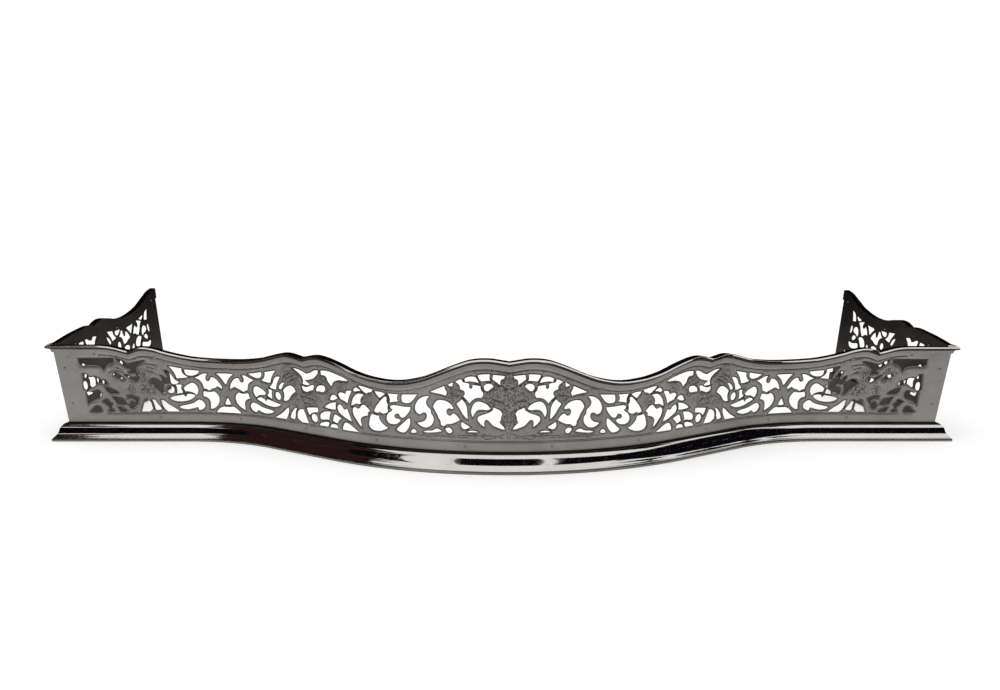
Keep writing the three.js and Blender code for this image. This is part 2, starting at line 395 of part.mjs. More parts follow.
// The three walls share one set of coordinates: s along the wall, d outward from the line of its
// foot, z up. On the front s runs from the left corner to the right one, with 0 in the middle; on
// an end it runs back from the front corner. place gives the point, start and stop the ends.
function placeFront(s, d, z) {
  const i = planEdges.findIndex((edge, k) => k > 0 && (s <= edge || k === planEdges.length - 1));
  const [a, b] = [planEdges[i - 1], planEdges[i]].map((edge) => {
    const foot = planPoint(Math.abs(edge));
    const side = Math.sign(edge);
    return new THREE.Vector3(
      side * (foot.x + d * Math.sin(foot.turn)), foot.y - d * Math.cos(foot.turn), z,
    );
  });
  return a.lerp(b, (s - planEdges[i - 1]) / (planEdges[i] - planEdges[i - 1]));
}
const front = {
  name: 'front',
  bends,
  place: placeFront,
  start: (d) => -cornerArc - d + mitreGap,
  stop: (d) => cornerArc + d - mitreGap,
};
const endWall = (name, side) => ({
  name,
  bends: [],
  side,
  place: (s, d, z) => new THREE.Vector3(side * (cornerHalfWidth + d), s, z),
  start: (d) => -d + mitreGap,
  stop: () => endDepth,
});
const walls = [front, endWall('left', -1), endWall('right', 1)];

const leanAt = (z) => lean * (z - baseHeight);

// ---------------------------------------------------------------- the ornament at the set sizes
const frontRise = crestHeight / drawnCrest;
const earRise = earHeight / (drawnEar * frontRise);
const frontSpan = cornerArc / drawnCorner;
const endSpan = endDepth / drawnEndDepth;
const frontMap = ([a, z, sharp]) => [a * frontSpan, baseHeight + (z - drawnFoot) * frontRise, sharp];
const endMap = ([v, z, sharp]) => {
  const rise = frontRise * (1 + (earRise - 1) * v / drawnEndDepth);
  return [v * endSpan, baseHeight + (z - drawnFoot) * rise, sharp];
};
const mirrored = (outline) => outline.map(([a, z, sharp]) => [-a, z, sharp]).reverse();
const drawnBack = (outline) => outline.map(([v, z, sharp]) => [v * readBack, z, sharp]);

const halfOpenings = [
  ...urnAndFlowers, ...innerScrolls, ...innerBeast, ...middleScrolls, ...outerBeast,
].map((outline) => outline.map(frontMap));
const halfEyes = frontEyes.map(([a, z, radius]) => [...frontMap([a, z]).slice(0, 2), radius]);
const halfCrest = frontCrest.map(frontMap);
front.crest = thinPath([...mirrored(halfCrest.slice(1)), ...halfCrest]);
front.openings = [...halfOpenings, ...halfOpenings.map(mirrored)];
front.eyes = [...halfEyes, ...halfEyes.map(([a, z, radius]) => [-a, z, radius])];
const endOpenings = [
  ...endScrolls.map(drawnBack), ...endLowScrolls, ...endFoot,
].map((outline) => outline.map(endMap));
for (const wall of walls.slice(1)) {
  wall.crest = thinPath(endCrest.map(endMap));
  wall.openings = endOpenings;
  wall.eyes = [];
}
for (const wall of walls) {
  wall.length = [wall.crest[0][0], wall.crest[wall.crest.length - 1][0]];
}

// A station moved off any bend that is nearer than the room it needs.
function clearOfBends(wall, s, room) {
  const near = wall.bends.find((bend) => Math.abs(s - bend) < room);
  if (near === undefined) return s;
  return near + (s < near ? -room : room);
}

// Height of the rim's top, straight between the points of the crest.
function crestAt(wall, s) {
  const { crest } = wall;
  const i = crest.findIndex(([at], k) => k > 0 && (s <= at || k === crest.length - 1));
  const [s0, z0] = crest[i - 1];
  const [s1, z1] = crest[i];
  return z0 + (z1 - z0) * THREE.MathUtils.clamp((s - s0) / (s1 - s0), 0, 1);
}

// Drops the points of a stretch that lie within the tolerance of straight lines between the others.
function thin(points) {
  const [a, b] = [points[0], points[points.length - 1]].map(([x, y]) => new THREE.Vector2(x, y));
  const chord = b.clone().sub(a);
  const offsets = points.map(([x, y]) => {
    const arm = new THREE.Vector2(x, y).sub(a);
    return Math.abs(chord.cross(arm)) / Math.max(chord.length(), 1e-6);
  });
  const farthest = offsets.indexOf(Math.max(...offsets));
  if (offsets[farthest] <= outlineTolerance) return [points[0], points[points.length - 1]];
  return [...thin(points.slice(0, farthest + 1)).slice(0, -1), ...thin(points.slice(farthest))];
}

// An open path, thinned between its sharp points.
function thinPath(path) {
  const last = path.length - 1;
  const stops = path.flatMap((point, i) => (point[2] || i === 0 || i === last ? [i] : []));
  if (stops.length === 2 && path[0] === path[last]) stops.splice(1, 0, Math.floor(last / 2));
  const stretches = stops.slice(1).map((stop, i) => thin(path.slice(stops[i], stop + 1)));
  return [...stretches.flatMap((stretch) => stretch.slice(0, -1)), path[last]];
}

// A closed outline, thinned the same way.
function thinLoop(loop) {
  const first = Math.max(0, loop.findIndex(([, , sharp]) => sharp));
  return thinPath([...loop.slice(first), ...loop.slice(0, first), loop[first]]).slice(0, -1);
}

// ---------------------------------------------------------------- solids
// A geometry from points and faces, turned the right way out where its place mirrored it.
function geometryOf(points, faces) {
  const vectors = points.map((point) => new THREE.Vector3(...point));
  let volume = 0;
  for (const [a, b, c] of faces) {
    volume += vectors[a].dot(vectors[b].clone().cross(vectors[c]));
  }
  const facingOut = volume > 0 ? faces : faces.map(([a, b, c]) => [a, c, b]);
  const geometry = new THREE.BufferGeometry();
  geometry.setAttribute('position', new THREE.Float32BufferAttribute(points.flat(), 3));
  geometry.setIndex(facingOut.flat());
  return geometry;
}

// Position-only geometry with its shared vertices merged.
function welded(geometry) {
  const bare = geometry.clone();
  bare.deleteAttribute('normal');
  bare.deleteAttribute('uv');
  return mergeVertices(bare, 1e-4);
}

function solidOf(geometry) {
  const { attributes, index } = welded(geometry);
  return new wasm.Manifold(new wasm.Mesh({
    numProp: 3,
    vertProperties: new Float32Array(attributes.position.array),
    triVerts: new Uint32Array(index.array),
  }));
}

// The geometry less the drills.
function drilled(geometry, drills) {
  const cutter = drills.map(solidOf).reduce((all, drill) => all.add(drill));
  const { vertProperties, triVerts } = solidOf(geometry).subtract(cutter).getMesh();
  const result = new THREE.BufferGeometry();
  result.setAttribute('position', new THREE.BufferAttribute(new Float32Array(vertProperties), 3));
  result.setIndex(new THREE.BufferAttribute(new Uint32Array(triVerts), 1));
  return result;
}

// The point of a wall at a station, cut to the mitre or the rear edge at its ends.
function placeCut(wall, s, d, z) {
  if (Math.abs(s - wall.length[0]) < 1e-4) return wall.place(wall.start(d), d, z);
  if (Math.abs(s - wall.length[1]) < 1e-4) return wall.place(wall.stop(d), d, z);
  return wall.place(s, d, z);
}

// A section of [out from the foot line, height] swept along a wall. section(s) lists it at a
// station, counter-clockwise.
function sweep(wall, stations, section) {
  const points = stations.flatMap((s) => section(s).map(([d, z]) => placeCut(wall, s, d, z).toArray()));
  const n = section(stations[0]).length;
  const last = points.length - n;
  const faces = [];
  for (let a = 0; a < last; a += 1) {
    const b = a % n === n - 1 ? a + 1 - n : a + 1;
    faces.push([a, b, b + n], [a, b + n, a + n]);
  }
  const contour = section(stations[0]).map(([d, z]) => new THREE.Vector2(d, z));
  for (const [a, b, c] of THREE.ShapeUtils.triangulateShape(contour, [])) {
    faces.push([a, c, b], [last + a, last + b, last + c]);
  }
  return geometryOf(points, faces);
}

// A line of [d, z] points given a thickness to its left.
function thicken(line, thickness) {
  const normals = line.slice(1).map(([d, z], i) => {
    const [d0, z0] = line[i];
    return new THREE.Vector2(z0 - z, d - d0).normalize();
  });
  const inner = line.map(([d, z], i) => {
    const before = normals[Math.max(0, i - 1)];
    const after = normals[Math.min(normals.length - 1, i)];
    const shift = before.clone().add(after).multiplyScalar(thickness / (1 + before.dot(after)));
    return [d + shift.x, z + shift.y];
  });
  return [...line, ...inner.reverse()];
}

// ---------------------------------------------------------------- heights and layers
const barTop = baseHeight + barAboveFoot;
const mouldingTop = baseHeight - clearance;
const plateBelowRim = rimWeb + clearance;
// Layers behind the outer face of a plate, out to in.
const behindPlate = plateThickness + clearance;
const behindFlange = behindPlate + mouldingWall + clearance;
const baseStack = behindFlange + barThickness;
const rimStack = behindPlate + rimFlangeThickness;
const angleStack = behindPlate + angleThickness;
const angleBottom = barTop + angleAboveBar;
const angleTop = crestAt(front, front.length[1]) - rimFlange - angleBelowRim;

const baseStations = (wall) => [wall.length[0], ...wall.bends, wall.length[1]];
function rimStations(wall) {
  const all = [...wall.crest.map(([s]) => s), ...wall.bends].sort((a, b) => a - b);
  return all.filter((s, i) => i === 0 || s - all[i - 1] > 1e-3);
}

// ---------------------------------------------------------------- rivets
// Where the rivets stand along a wall, as read: outward from the middle, or back from the corner.
const frontRimRivets = [117, 222, 330, 429, 536, 620];
const frontBaseRivets = [55, 175, 295, 415, 535];
const endRimRivets = [43, 180, 330];
const endBaseRivets = [45, 175, 315];

// A rivet square to the leaning plate, its heads on either side of a stack of pieces. A head
// keeps to one flat of the faceted plan.
function rivetAt(wall, name, s, z, stack) {
  const seat = clearOfBends(wall, s, rivetHeadRadius + 1);
  const centre = wall.place(seat, leanAt(z), z);
  const along = wall.place(seat + 0.1, leanAt(z), z).sub(centre);
  const up = wall.place(seat, leanAt(z + 1), z + 1).sub(centre);
  const out = wall.place(seat, leanAt(z) + 1, z).sub(centre);
  const axis = along.cross(up).normalize();
  if (axis.dot(out) < 0) axis.negate();
  return { name, centre, axis, stack };
}

const bothSides = (list) => [...list.map((a) => -a).reverse(), ...list];
const rimRivetsOf = (wall) => (wall === front
  ? bothSides(frontRimRivets).map((a) => a * frontSpan) : endRimRivets.map((v) => v * endSpan))
  .map((s, i) => rivetAt(
    wall, `${wall.name}_rim_rivet_${i + 1}`, s, crestAt(wall, s) - rimRivetBelowTop, rimStack,
  ));
const baseRivetsOf = (wall) => (wall === front
  ? bothSides(frontBaseRivets).map((a) => a * frontSpan) : endBaseRivets.map((v) => v * endSpan))
  .map((s, i) => rivetAt(
    wall, `${wall.name}_base_rivet_${i + 1}`, s, baseHeight + baseRivetAboveFoot, baseStack,
  ));

// Rivets of a corner angle: two in each leg.
const angleHeights = [angleBottom + angleRivetMargin, angleTop - angleRivetMargin];
const insideCorner = (z) => leanAt(z) - behindPlate - angleRivetInset;
const frontAngleRivets = (side) => angleHeights.map((z, i) => rivetAt(
  front, `${side < 0 ? 'left' : 'right'}_angle_front_rivet_${i + 1}`,
  side * (cornerArc + insideCorner(z)), z, angleStack,
));
const endAngleRivets = (wall) => angleHeights.map((z, i) => rivetAt(
  wall, `${wall.name}_angle_end_rivet_${i + 1}`, -insideCorner(z), z, angleStack,
));

function rivetGeometry(stack) {
  const outer = clearance;
  const inner = -stack - clearance;
  const profile = [
    [0, inner - rivetHeadHeight], [rivetHeadRadius, inner], [rivetShankRadius, inner],
    [rivetShankRadius, outer], [rivetHeadRadius, outer], [0, outer + rivetHeadHeight],
  ];
  return new THREE.LatheGeometry(profile.map(([r, y]) => new THREE.Vector2(r, y)), rivetSides);
}

const alongAxis = (axis) => new THREE.Quaternion().setFromUnitVectors(new THREE.Vector3(0, 1, 0), axis);

// The hole for a rivet, clear of its shank all round.
function drillFor({ centre, axis, stack }) {
  const radius = (rivetShankRadius + clearance) / Math.cos(Math.PI / rivetSides);
  const reach = stack + 2 * rivetHeadHeight;
  const drill = new THREE.CylinderGeometry(radius, radius, reach, rivetSides);
  drill.translate(0, -stack / 2, 0);
  drill.applyQuaternion(alongAxis(axis));
  drill.translate(centre.x, centre.y, centre.z);
  return drill;
}

// ---------------------------------------------------------------- the pieces
const group = new THREE.Group();

function add(name, geometry, material, place = {}) {
  const mesh = new THREE.Mesh(geometry, new THREE.MeshStandardMaterial(material));
  mesh.name = name;
  if (place.position) mesh.position.copy(place.position);
  if (place.turn) mesh.quaternion.copy(place.turn);
  group.add(mesh);
}

const eyeSides = 10;
function eyeOutline([s, z, radius]) {
  const turns = Array.from({ length: eyeSides }, (_, i) => 2 * Math.PI * i / eyeSides);
  return turns.map((turn) => [s + radius * Math.cos(turn), z + radius * Math.sin(turn)]);
}

// What is cut from the flat sheet: all above the crest, the openings and the eyes.
const cutterReach = 5;
const seamTolerance = 0.01;
function flatCutter(wall, sheetTop) {
  const [start, stop] = wall.length;
  const edge = wall.crest.map(([s, z]) => [s, z - plateBelowRim]);
  const aboveCrest = [
    [start - cutterReach, edge[0][1]], ...edge, [stop + cutterReach, edge[edge.length - 1][1]],
    [stop + cutterReach, sheetTop + cutterReach], [start - cutterReach, sheetTop + cutterReach],
  ];
  return [aboveCrest, ...wall.openings.map(thinLoop), ...wall.eyes.map(eyeOutline)].map((outline) => {
    const shape = new THREE.Shape(outline.map(([s, z]) => (
      new THREE.Vector2(clearOfBends(wall, s, 5 * seamTolerance), z)
    )));
    const depth = plateThickness + 2 * cutterReach;
    const prism = new THREE.ExtrudeGeometry(shape, { depth, bevelEnabled: false });
    return solidOf(prism.translate(0, 0, -plateThickness - cutterReach));
  }).reduce((all, prism) => all.add(prism));
}

// Pierced sheet. It is cut flat, one strip between bends at a time, then each strip is folded to
// the plan and leaned out, and the strips are joined along their shared bends.
function plateGeometry(wall, drills) {
  const sheetTop = Math.max(...wall.crest.map(([, z]) => z));
  const cutter = flatCutter(wall, sheetTop);
  const points = [];
  const faces = [];
  const seams = new Map(wall.bends.map((bend) => [bend, []]));
  const seamAt = (s) => wall.bends.find((bend) => Math.abs(s - bend) < seamTolerance);
  const indexOf = (point) => {
    const seam = seams.get(seamAt(point[0]));
    const near = (i) => Math.hypot(...points[i].map((value, k) => value - point[k])) < seamTolerance;
    const shared = seam?.find(near);
    if (shared !== undefined) return shared;
    points.push(point);
    seam?.push(points.length - 1);
    return points.length - 1;
  };
  const edges = baseStations(wall);
  for (let i = 1; i < edges.length; i += 1) {
    const [from, to] = [edges[i - 1], edges[i]];
    const strip = new THREE.BoxGeometry(to - from, sheetTop - baseHeight, plateThickness);
    strip.translate((from + to) / 2, (sheetTop + baseHeight) / 2, -plateThickness / 2);
    const { vertProperties, triVerts } = solidOf(strip).subtract(cutter).getMesh();
    const indices = [];
    for (let k = 0; k < vertProperties.length; k += 3) {
      indices.push(indexOf([...vertProperties.slice(k, k + 3)]));
    }
    for (let k = 0; k < triVerts.length; k += 3) {
      const face = [...triVerts.slice(k, k + 3)].map((corner) => indices[corner]);
      const seam = seamAt(points[face[0]][0]);
      const onSeam = seam !== undefined && face.every((corner) => seamAt(points[corner][0]) === seam);
      if (!onSeam && new Set(face).size === 3) faces.push(face);
    }
  }
  const folded = points.map(([s, z, out]) => placeCut(wall, s, leanAt(z) + out, z).toArray());
  return drilled(geometryOf(folded, faces), drills);
}

// Rim: a moulded face over the plate's top edge, a web across it and a flat flange behind.
const drawnRimProjection = 7.4;
const drawnRimFace = 10.5;
const rimFaceProfile = [
  [1.8, -10.5], [2.2, -7], [3.6, -5.2], [6.8, -3.8], [7.4, -2.2], [6.8, -0.8], [5, 0],
];
const rimProfile = [
  [clearance, -rimFace],
  ...rimFaceProfile.map(([off, z]) => [
    off * rimProjection / drawnRimProjection, z * rimFace / drawnRimFace,
  ]),
  [-rimStack, 0], [-rimStack, -rimFlange], [-behindPlate, -rimFlange], [-behindPlate, -rimWeb],
  [clearance, -rimWeb],
];
function rimGeometry(wall, drills) {
  const section = (s) => rimProfile.map(([off, below]) => {
    const z = crestAt(wall, s) + below;
    return [leanAt(z) + off, z];
  });
  return drilled(sweep(wall, rimStations(wall), section), drills);
}

// Base moulding: rolled sheet with a bead, a hollow sweep and a round shoulder. It turns in to
// stand on the hearth and turns up behind the plate as a flange.
const drawnProjection = 17.8;
const drawnMouldingTop = 24.1;
const mouldingProfile = [
  [17.3, 0], [17.8, 2.5], [17, 4.3], [13.9, 7.6], [11, 11.1], [9.6, 15.6], [7.7, 19.7], [4.5, 23.2],
  [3, 24.1],
].map(([d, z]) => [
  d * mouldingProjection / drawnProjection, z * mouldingTop / drawnMouldingTop,
]);
function mouldingGeometry(wall, drills) {
  const [toe] = mouldingProfile;
  const line = [
    [toe[0] - mouldingFoot, 0], ...mouldingProfile,
    [leanAt(mouldingTop) - behindPlate, mouldingTop], [leanAt(barTop) - behindPlate, barTop],
  ];
  const section = thicken(line, mouldingWall);
  return drilled(sweep(wall, baseStations(wall), () => section), drills);
}

// Flat iron bar behind the plate's foot.
function barGeometry(wall, drills) {
  const section = [
    [leanAt(barBottom) - baseStack, barBottom], [leanAt(barBottom) - behindFlange, barBottom],
    [leanAt(barTop) - behindFlange, barTop], [leanAt(barTop) - baseStack, barTop],
  ];
  return drilled(sweep(wall, baseStations(wall), () => section), drills);
}

// Angle iron inside a front corner. side is -1 left, 1 right.
function angleGeometry(side, drills) {
  const level = (z) => {
    const corner = leanAt(z) - behindPlate;
    const [x, y] = [cornerHalfWidth + corner, -corner];
    return [
      [x, y], [x, y + angleLeg], [x - angleThickness, y + angleLeg],
      [x - angleThickness, y + angleThickness], [x - angleLeg, y + angleThickness],
      [x - angleLeg, y],
    ].map(([px, py]) => [side * px, py, z]);
  };
  const points = [...level(angleBottom), ...level(angleTop)];
  const contour = level(angleBottom).map(([x, y]) => new THREE.Vector2(side * x, y));
  const faces = [];
  for (let k = 0; k < 6; k += 1) {
    const next = (k + 1) % 6;
    faces.push([k, next, next + 6], [k, next + 6, k + 6]);
  }
  for (const [a, b, c] of THREE.ShapeUtils.triangulateShape(contour, [])) {
    faces.push([a, c, b], [a + 6, b + 6, c + 6]);
  }
  return drilled(geometryOf(points, faces), drills);
}

function addRivets(rivets) {
  for (const { name, centre, axis, stack } of rivets) {
    add(name, rivetGeometry(stack), steel, { position: centre, turn: alongAxis(axis) });
  }
}

for (const wall of walls) {
  const rimRivets = rimRivetsOf(wall);
  const baseRivets = baseRivetsOf(wall);
  const angleRivets = wall === front
    ? [...frontAngleRivets(-1), ...frontAngleRivets(1)] : endAngleRivets(wall);
  const rimDrills = rimRivets.map(drillFor);
  const baseDrills = baseRivets.map(drillFor);
  const angleDrills = angleRivets.map(drillFor);
  const plateName = wall === front ? 'front_plate' : `${wall.name}_end_plate`;
  add(plateName, plateGeometry(wall, [...rimDrills, ...baseDrills, ...angleDrills]),
    wall === front ? steel : darkSteel);
  add(`${wall.name}_rim`, rimGeometry(wall, rimDrills), brightSteel);
  add(`${wall.name}_moulding`, mouldingGeometry(wall, baseDrills), brightSteel);
  add(`${wall.name}_base_bar`, barGeometry(wall, baseDrills), iron);
  addRivets([...rimRivets, ...baseRivets, ...angleRivets]);
}

for (const wall of walls.slice(1)) {
  const angleRivets = [...frontAngleRivets(wall.side), ...endAngleRivets(wall)];
  add(`${wall.name}_corner_angle`, angleGeometry(wall.side, angleRivets.map(drillFor)), iron);
}

// The origin is the middle of the fender's footprint, on the hearth.
const box = new THREE.Box3().setFromObject(group);
group.position.y = -(box.min.y + box.max.y) / 2;

export default group;
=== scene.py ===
"""A serpentine steel fire fender: a pierced plate bowed out at the middle, two pierced ends that run
straight back to the chimneypiece, a moulded rim over their top edges and a hollow moulded base.
Outlines are in millimetres, measured along a plate's foot and up from the hearth."""

import math

import bmesh
import bpy
from mathutils import Matrix, Vector
from mathutils.geometry import delaunay_2d_cdt
from mathutils.kdtree import KDTree


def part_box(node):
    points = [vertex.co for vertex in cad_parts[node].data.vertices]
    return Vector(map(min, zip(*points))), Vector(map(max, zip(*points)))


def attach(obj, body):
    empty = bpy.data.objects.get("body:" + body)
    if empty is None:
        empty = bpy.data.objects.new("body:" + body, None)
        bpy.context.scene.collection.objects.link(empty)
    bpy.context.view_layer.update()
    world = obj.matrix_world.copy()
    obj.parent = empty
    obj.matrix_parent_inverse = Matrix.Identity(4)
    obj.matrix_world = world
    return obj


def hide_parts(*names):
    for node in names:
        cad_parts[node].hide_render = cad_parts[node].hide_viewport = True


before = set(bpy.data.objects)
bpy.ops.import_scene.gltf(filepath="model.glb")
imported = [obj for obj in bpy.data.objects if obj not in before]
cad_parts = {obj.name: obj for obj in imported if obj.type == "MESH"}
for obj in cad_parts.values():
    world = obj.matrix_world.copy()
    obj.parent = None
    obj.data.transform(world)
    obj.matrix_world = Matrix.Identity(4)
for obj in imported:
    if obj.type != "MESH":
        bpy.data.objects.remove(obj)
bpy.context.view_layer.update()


# ------------------------------------------------------------------ the pierced front plate
# A sheet of rolled steel 2 mm thick, sawn and filed through with an urn of flowers, scrolls and
# winged beasts, then engraved and rubbed to a satin. It is bent to a bow in plan, leans outwards,
# and stands in the base, with the rim over its top edge.

corner_half_width = 632.0
end_depth = 354.0
bow_depth = 160.0
bow_radius = 430.0
shoulder_radius = 255.0
bow_sweep = math.radians(31.5)
lean = 0.094
base_height = 24.4
plate_thickness = 2.0
rim_web = 1.6                     # the rim's top above the plate's top edge
joint = 0.05                      # half of the fine line left at a corner mitre
arris = 0.25                      # filed edge of a sheet
grid_step = 7.0
grid_clearance = 0.3 * grid_step  # between the points of the grid and a sawn line
outline_step = 1.5
shallow_edge = math.radians(32)   # edges flatter than this are shaded round
rear_of_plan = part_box("left_end_plate")[1].y * 1000 - end_depth

ramp_length = (
    bow_depth - (bow_radius + shoulder_radius) * (1 - math.cos(bow_sweep))
) / math.sin(bow_sweep)
bow_arc = bow_radius * bow_sweep
shoulder_start = bow_arc + ramp_length
shoulder_arc = shoulder_radius * bow_sweep
corner_run = (
    (bow_radius + shoulder_radius) * math.sin(bow_sweep) + ramp_length * math.cos(bow_sweep)
)
corner_arc = shoulder_start + shoulder_arc + corner_half_width - corner_run


def plan_point(u):
    """Foot of the front plate at a distance u from the middle, and the turn of its normal."""
    if u <= bow_arc:
        turn = u / bow_radius
        return bow_radius * math.sin(turn), bow_radius * (1 - math.cos(turn)) - bow_depth, turn
    if u <= shoulder_start:
        x, y, turn = plan_point(bow_arc)
        run = u - bow_arc
        return x + run * math.cos(turn), y + run * math.sin(turn), turn
    if u <= shoulder_start + shoulder_arc:
        turn = bow_sweep - (u - shoulder_start) / shoulder_radius
        x = corner_run - shoulder_radius * math.sin(turn)
        return x, -shoulder_radius * (1 - math.cos(turn)), turn
    return corner_half_width + u - corner_arc, 0.0, 0.0


def leaning(z):
    """How far a plate stands out at a height, because it leans."""
    return lean * (z - base_height)


class Wall:
    """One side of the fender. s runs along the foot of its plate, d stands out from it, z is up."""

    def __init__(self, name, side):
        self.name = name
        self.side = side
        self.low, self.high = (-corner_arc, corner_arc) if side == 0 else (0.0, end_depth)
        self.skews = (-1, 1) if side == 0 else (-1, 0)

    def edge(self, which, d):
        """Where the piece ends at a depth d: a corner mitre, or the square rear edge."""
        skew = self.skews[which]
        return (self.low, self.high)[which] + skew * (d - joint)

    def point(self, s, d, z):
        if self.side == 0:
            x, y, turn = plan_point(abs(s))
            spot = math.copysign(x + d * math.sin(turn), s), y - d * math.cos(turn), z
        else:
            spot = self.side * (corner_half_width + d), s, z
        return Vector((spot[0], spot[1] + rear_of_plan, spot[2])) / 1000


front, left_end, right_end = Wall("front", 0), Wall("left", -1), Wall("right", 1)
K = True    # marks a sharp point of an outline; the others are smooth

# Each opening as [outward from the middle, height]. One half is drawn and the other mirrors it.
front_crest = [
    (0, 142.3, K), (10, 144), (22, 145.8), (35, 145.8), (48, 144), (60, 140), (75, 134),
    (90, 127.5), (105, 121.5), (120, 117.3), (135, 114.6), (150, 113.8), (165, 114.8), (180, 116.8),
    (200, 121.5), (220, 128.5), (235, 133), (250, 136.3), (262, 137.5), (275, 136), (289, 132.5, K),
    (300, 134.5), (312, 136.3), (325, 135.5), (340, 132), (360, 126.8), (380, 123), (400, 120.6),
    (420, 119.5), (440, 119.3), (460, 119.8), (480, 121.3), (500, 125), (520, 130), (530, 133.2),
    (540, 135.5), (549, 136.6), (557, 136.2), (564, 134), (571, 131, K), (580, 133.5), (590, 136.3),
    (600, 138), (612, 138.8, K), (667.3, 138.8, K),
]
urn_and_flowers = [
    [(19.3, 125.3, K), (12, 124.6), (5.3, 123.8, K), (6.7, 120.3, K), (10.7, 118), (10.3, 112, K),
        (14.5, 115), (20.5, 119.5, K)],
    [(38.5, 124.7, K), (31, 125.8), (23.5, 125.8, K), (24.2, 121), (22.8, 117.5, K), (28, 117.5),
        (34.2, 116.7, K), (37, 120.5)],
    [(54.7, 119.5, K), (51.5, 121.7), (46, 122.8), (41.5, 122), (39, 119), (37.3, 114.5, K),
        (42, 115.8), (48, 116.5), (53.7, 115.7, K)],
    [(19, 110, K), (21.5, 113), (25.5, 114), (29.5, 112.3), (31, 109.3), (30, 105.8), (27, 104.2),
        (24, 106), (21.3, 108.5)],
    [(66, 115, K), (62, 118), (58.5, 118.7, K), (56.5, 115, K), (52, 114.3), (48.8, 113.5, K),
        (48.8, 108.5), (46.8, 106.8), (45, 108.5), (45, 112, K), (40, 111.5), (35, 110.5, K),
        (34.5, 106), (32, 102), (32.5, 98), (34.3, 95.5, K), (40, 95.3), (44.5, 93), (49, 88, K),
        (52, 92), (56.7, 97, K), (54.5, 99.8), (55.3, 103.5), (60.5, 106, K), (60.7, 110),
        (63.3, 113.5)],
    [(75.5, 111, K), (72, 113.2), (69, 114.7, K), (70, 109, K), (73, 109.7)],
    [(98.5, 101, K), (89, 105.5), (79.8, 109.7, K), (79, 106), (76.7, 102, K), (78.5, 97, K),
        (84, 98.7), (91, 100)],
    [(44.8, 70, K), (46.7, 75.5), (46, 82), (42.5, 88.5), (38, 90.7), (32, 89.5), (26.5, 86.3),
        (23, 81.3, K), (27, 79.7), (33, 80.2), (38.5, 79.5), (42, 76.3)],
    [(65.3, 86.8, K), (61.5, 90), (58.3, 93, K), (54.5, 88.5), (52.3, 82.5), (51.8, 76),
        (51.3, 67, K), (55.5, 71), (59, 76.3), (62, 81.8)],
    [(19, 83.3, K), (15, 81.3), (11, 79.3), (8.5, 75), (9.8, 71), (10.3, 66.5), (12, 64.3, K),
        (10, 61.5), (7, 58.5), (5, 54.5, K), (9, 55), (14, 57), (19, 59), (22.5, 62.5), (26, 66.3),
        (28.8, 67), (30.8, 64.5), (30.2, 57.5, K), (35, 61), (38.7, 66), (38, 70.5), (33, 73.3),
        (28, 75), (23, 77.5), (20, 80)],
    [(58.7, 63.5, K), (59.7, 58.5), (57.5, 54.5), (54, 54.3), (48.3, 57, K), (52, 59.3),
        (55.5, 61.5)],
    [(53.3, 50.2, K), (47.5, 52.3), (42, 52), (37.3, 50.3, K)],
    [(80.2, 53.7, K), (77, 55.3), (74, 55), (71.3, 52, K), (72.5, 49), (75.5, 48), (78.5, 50)],
]
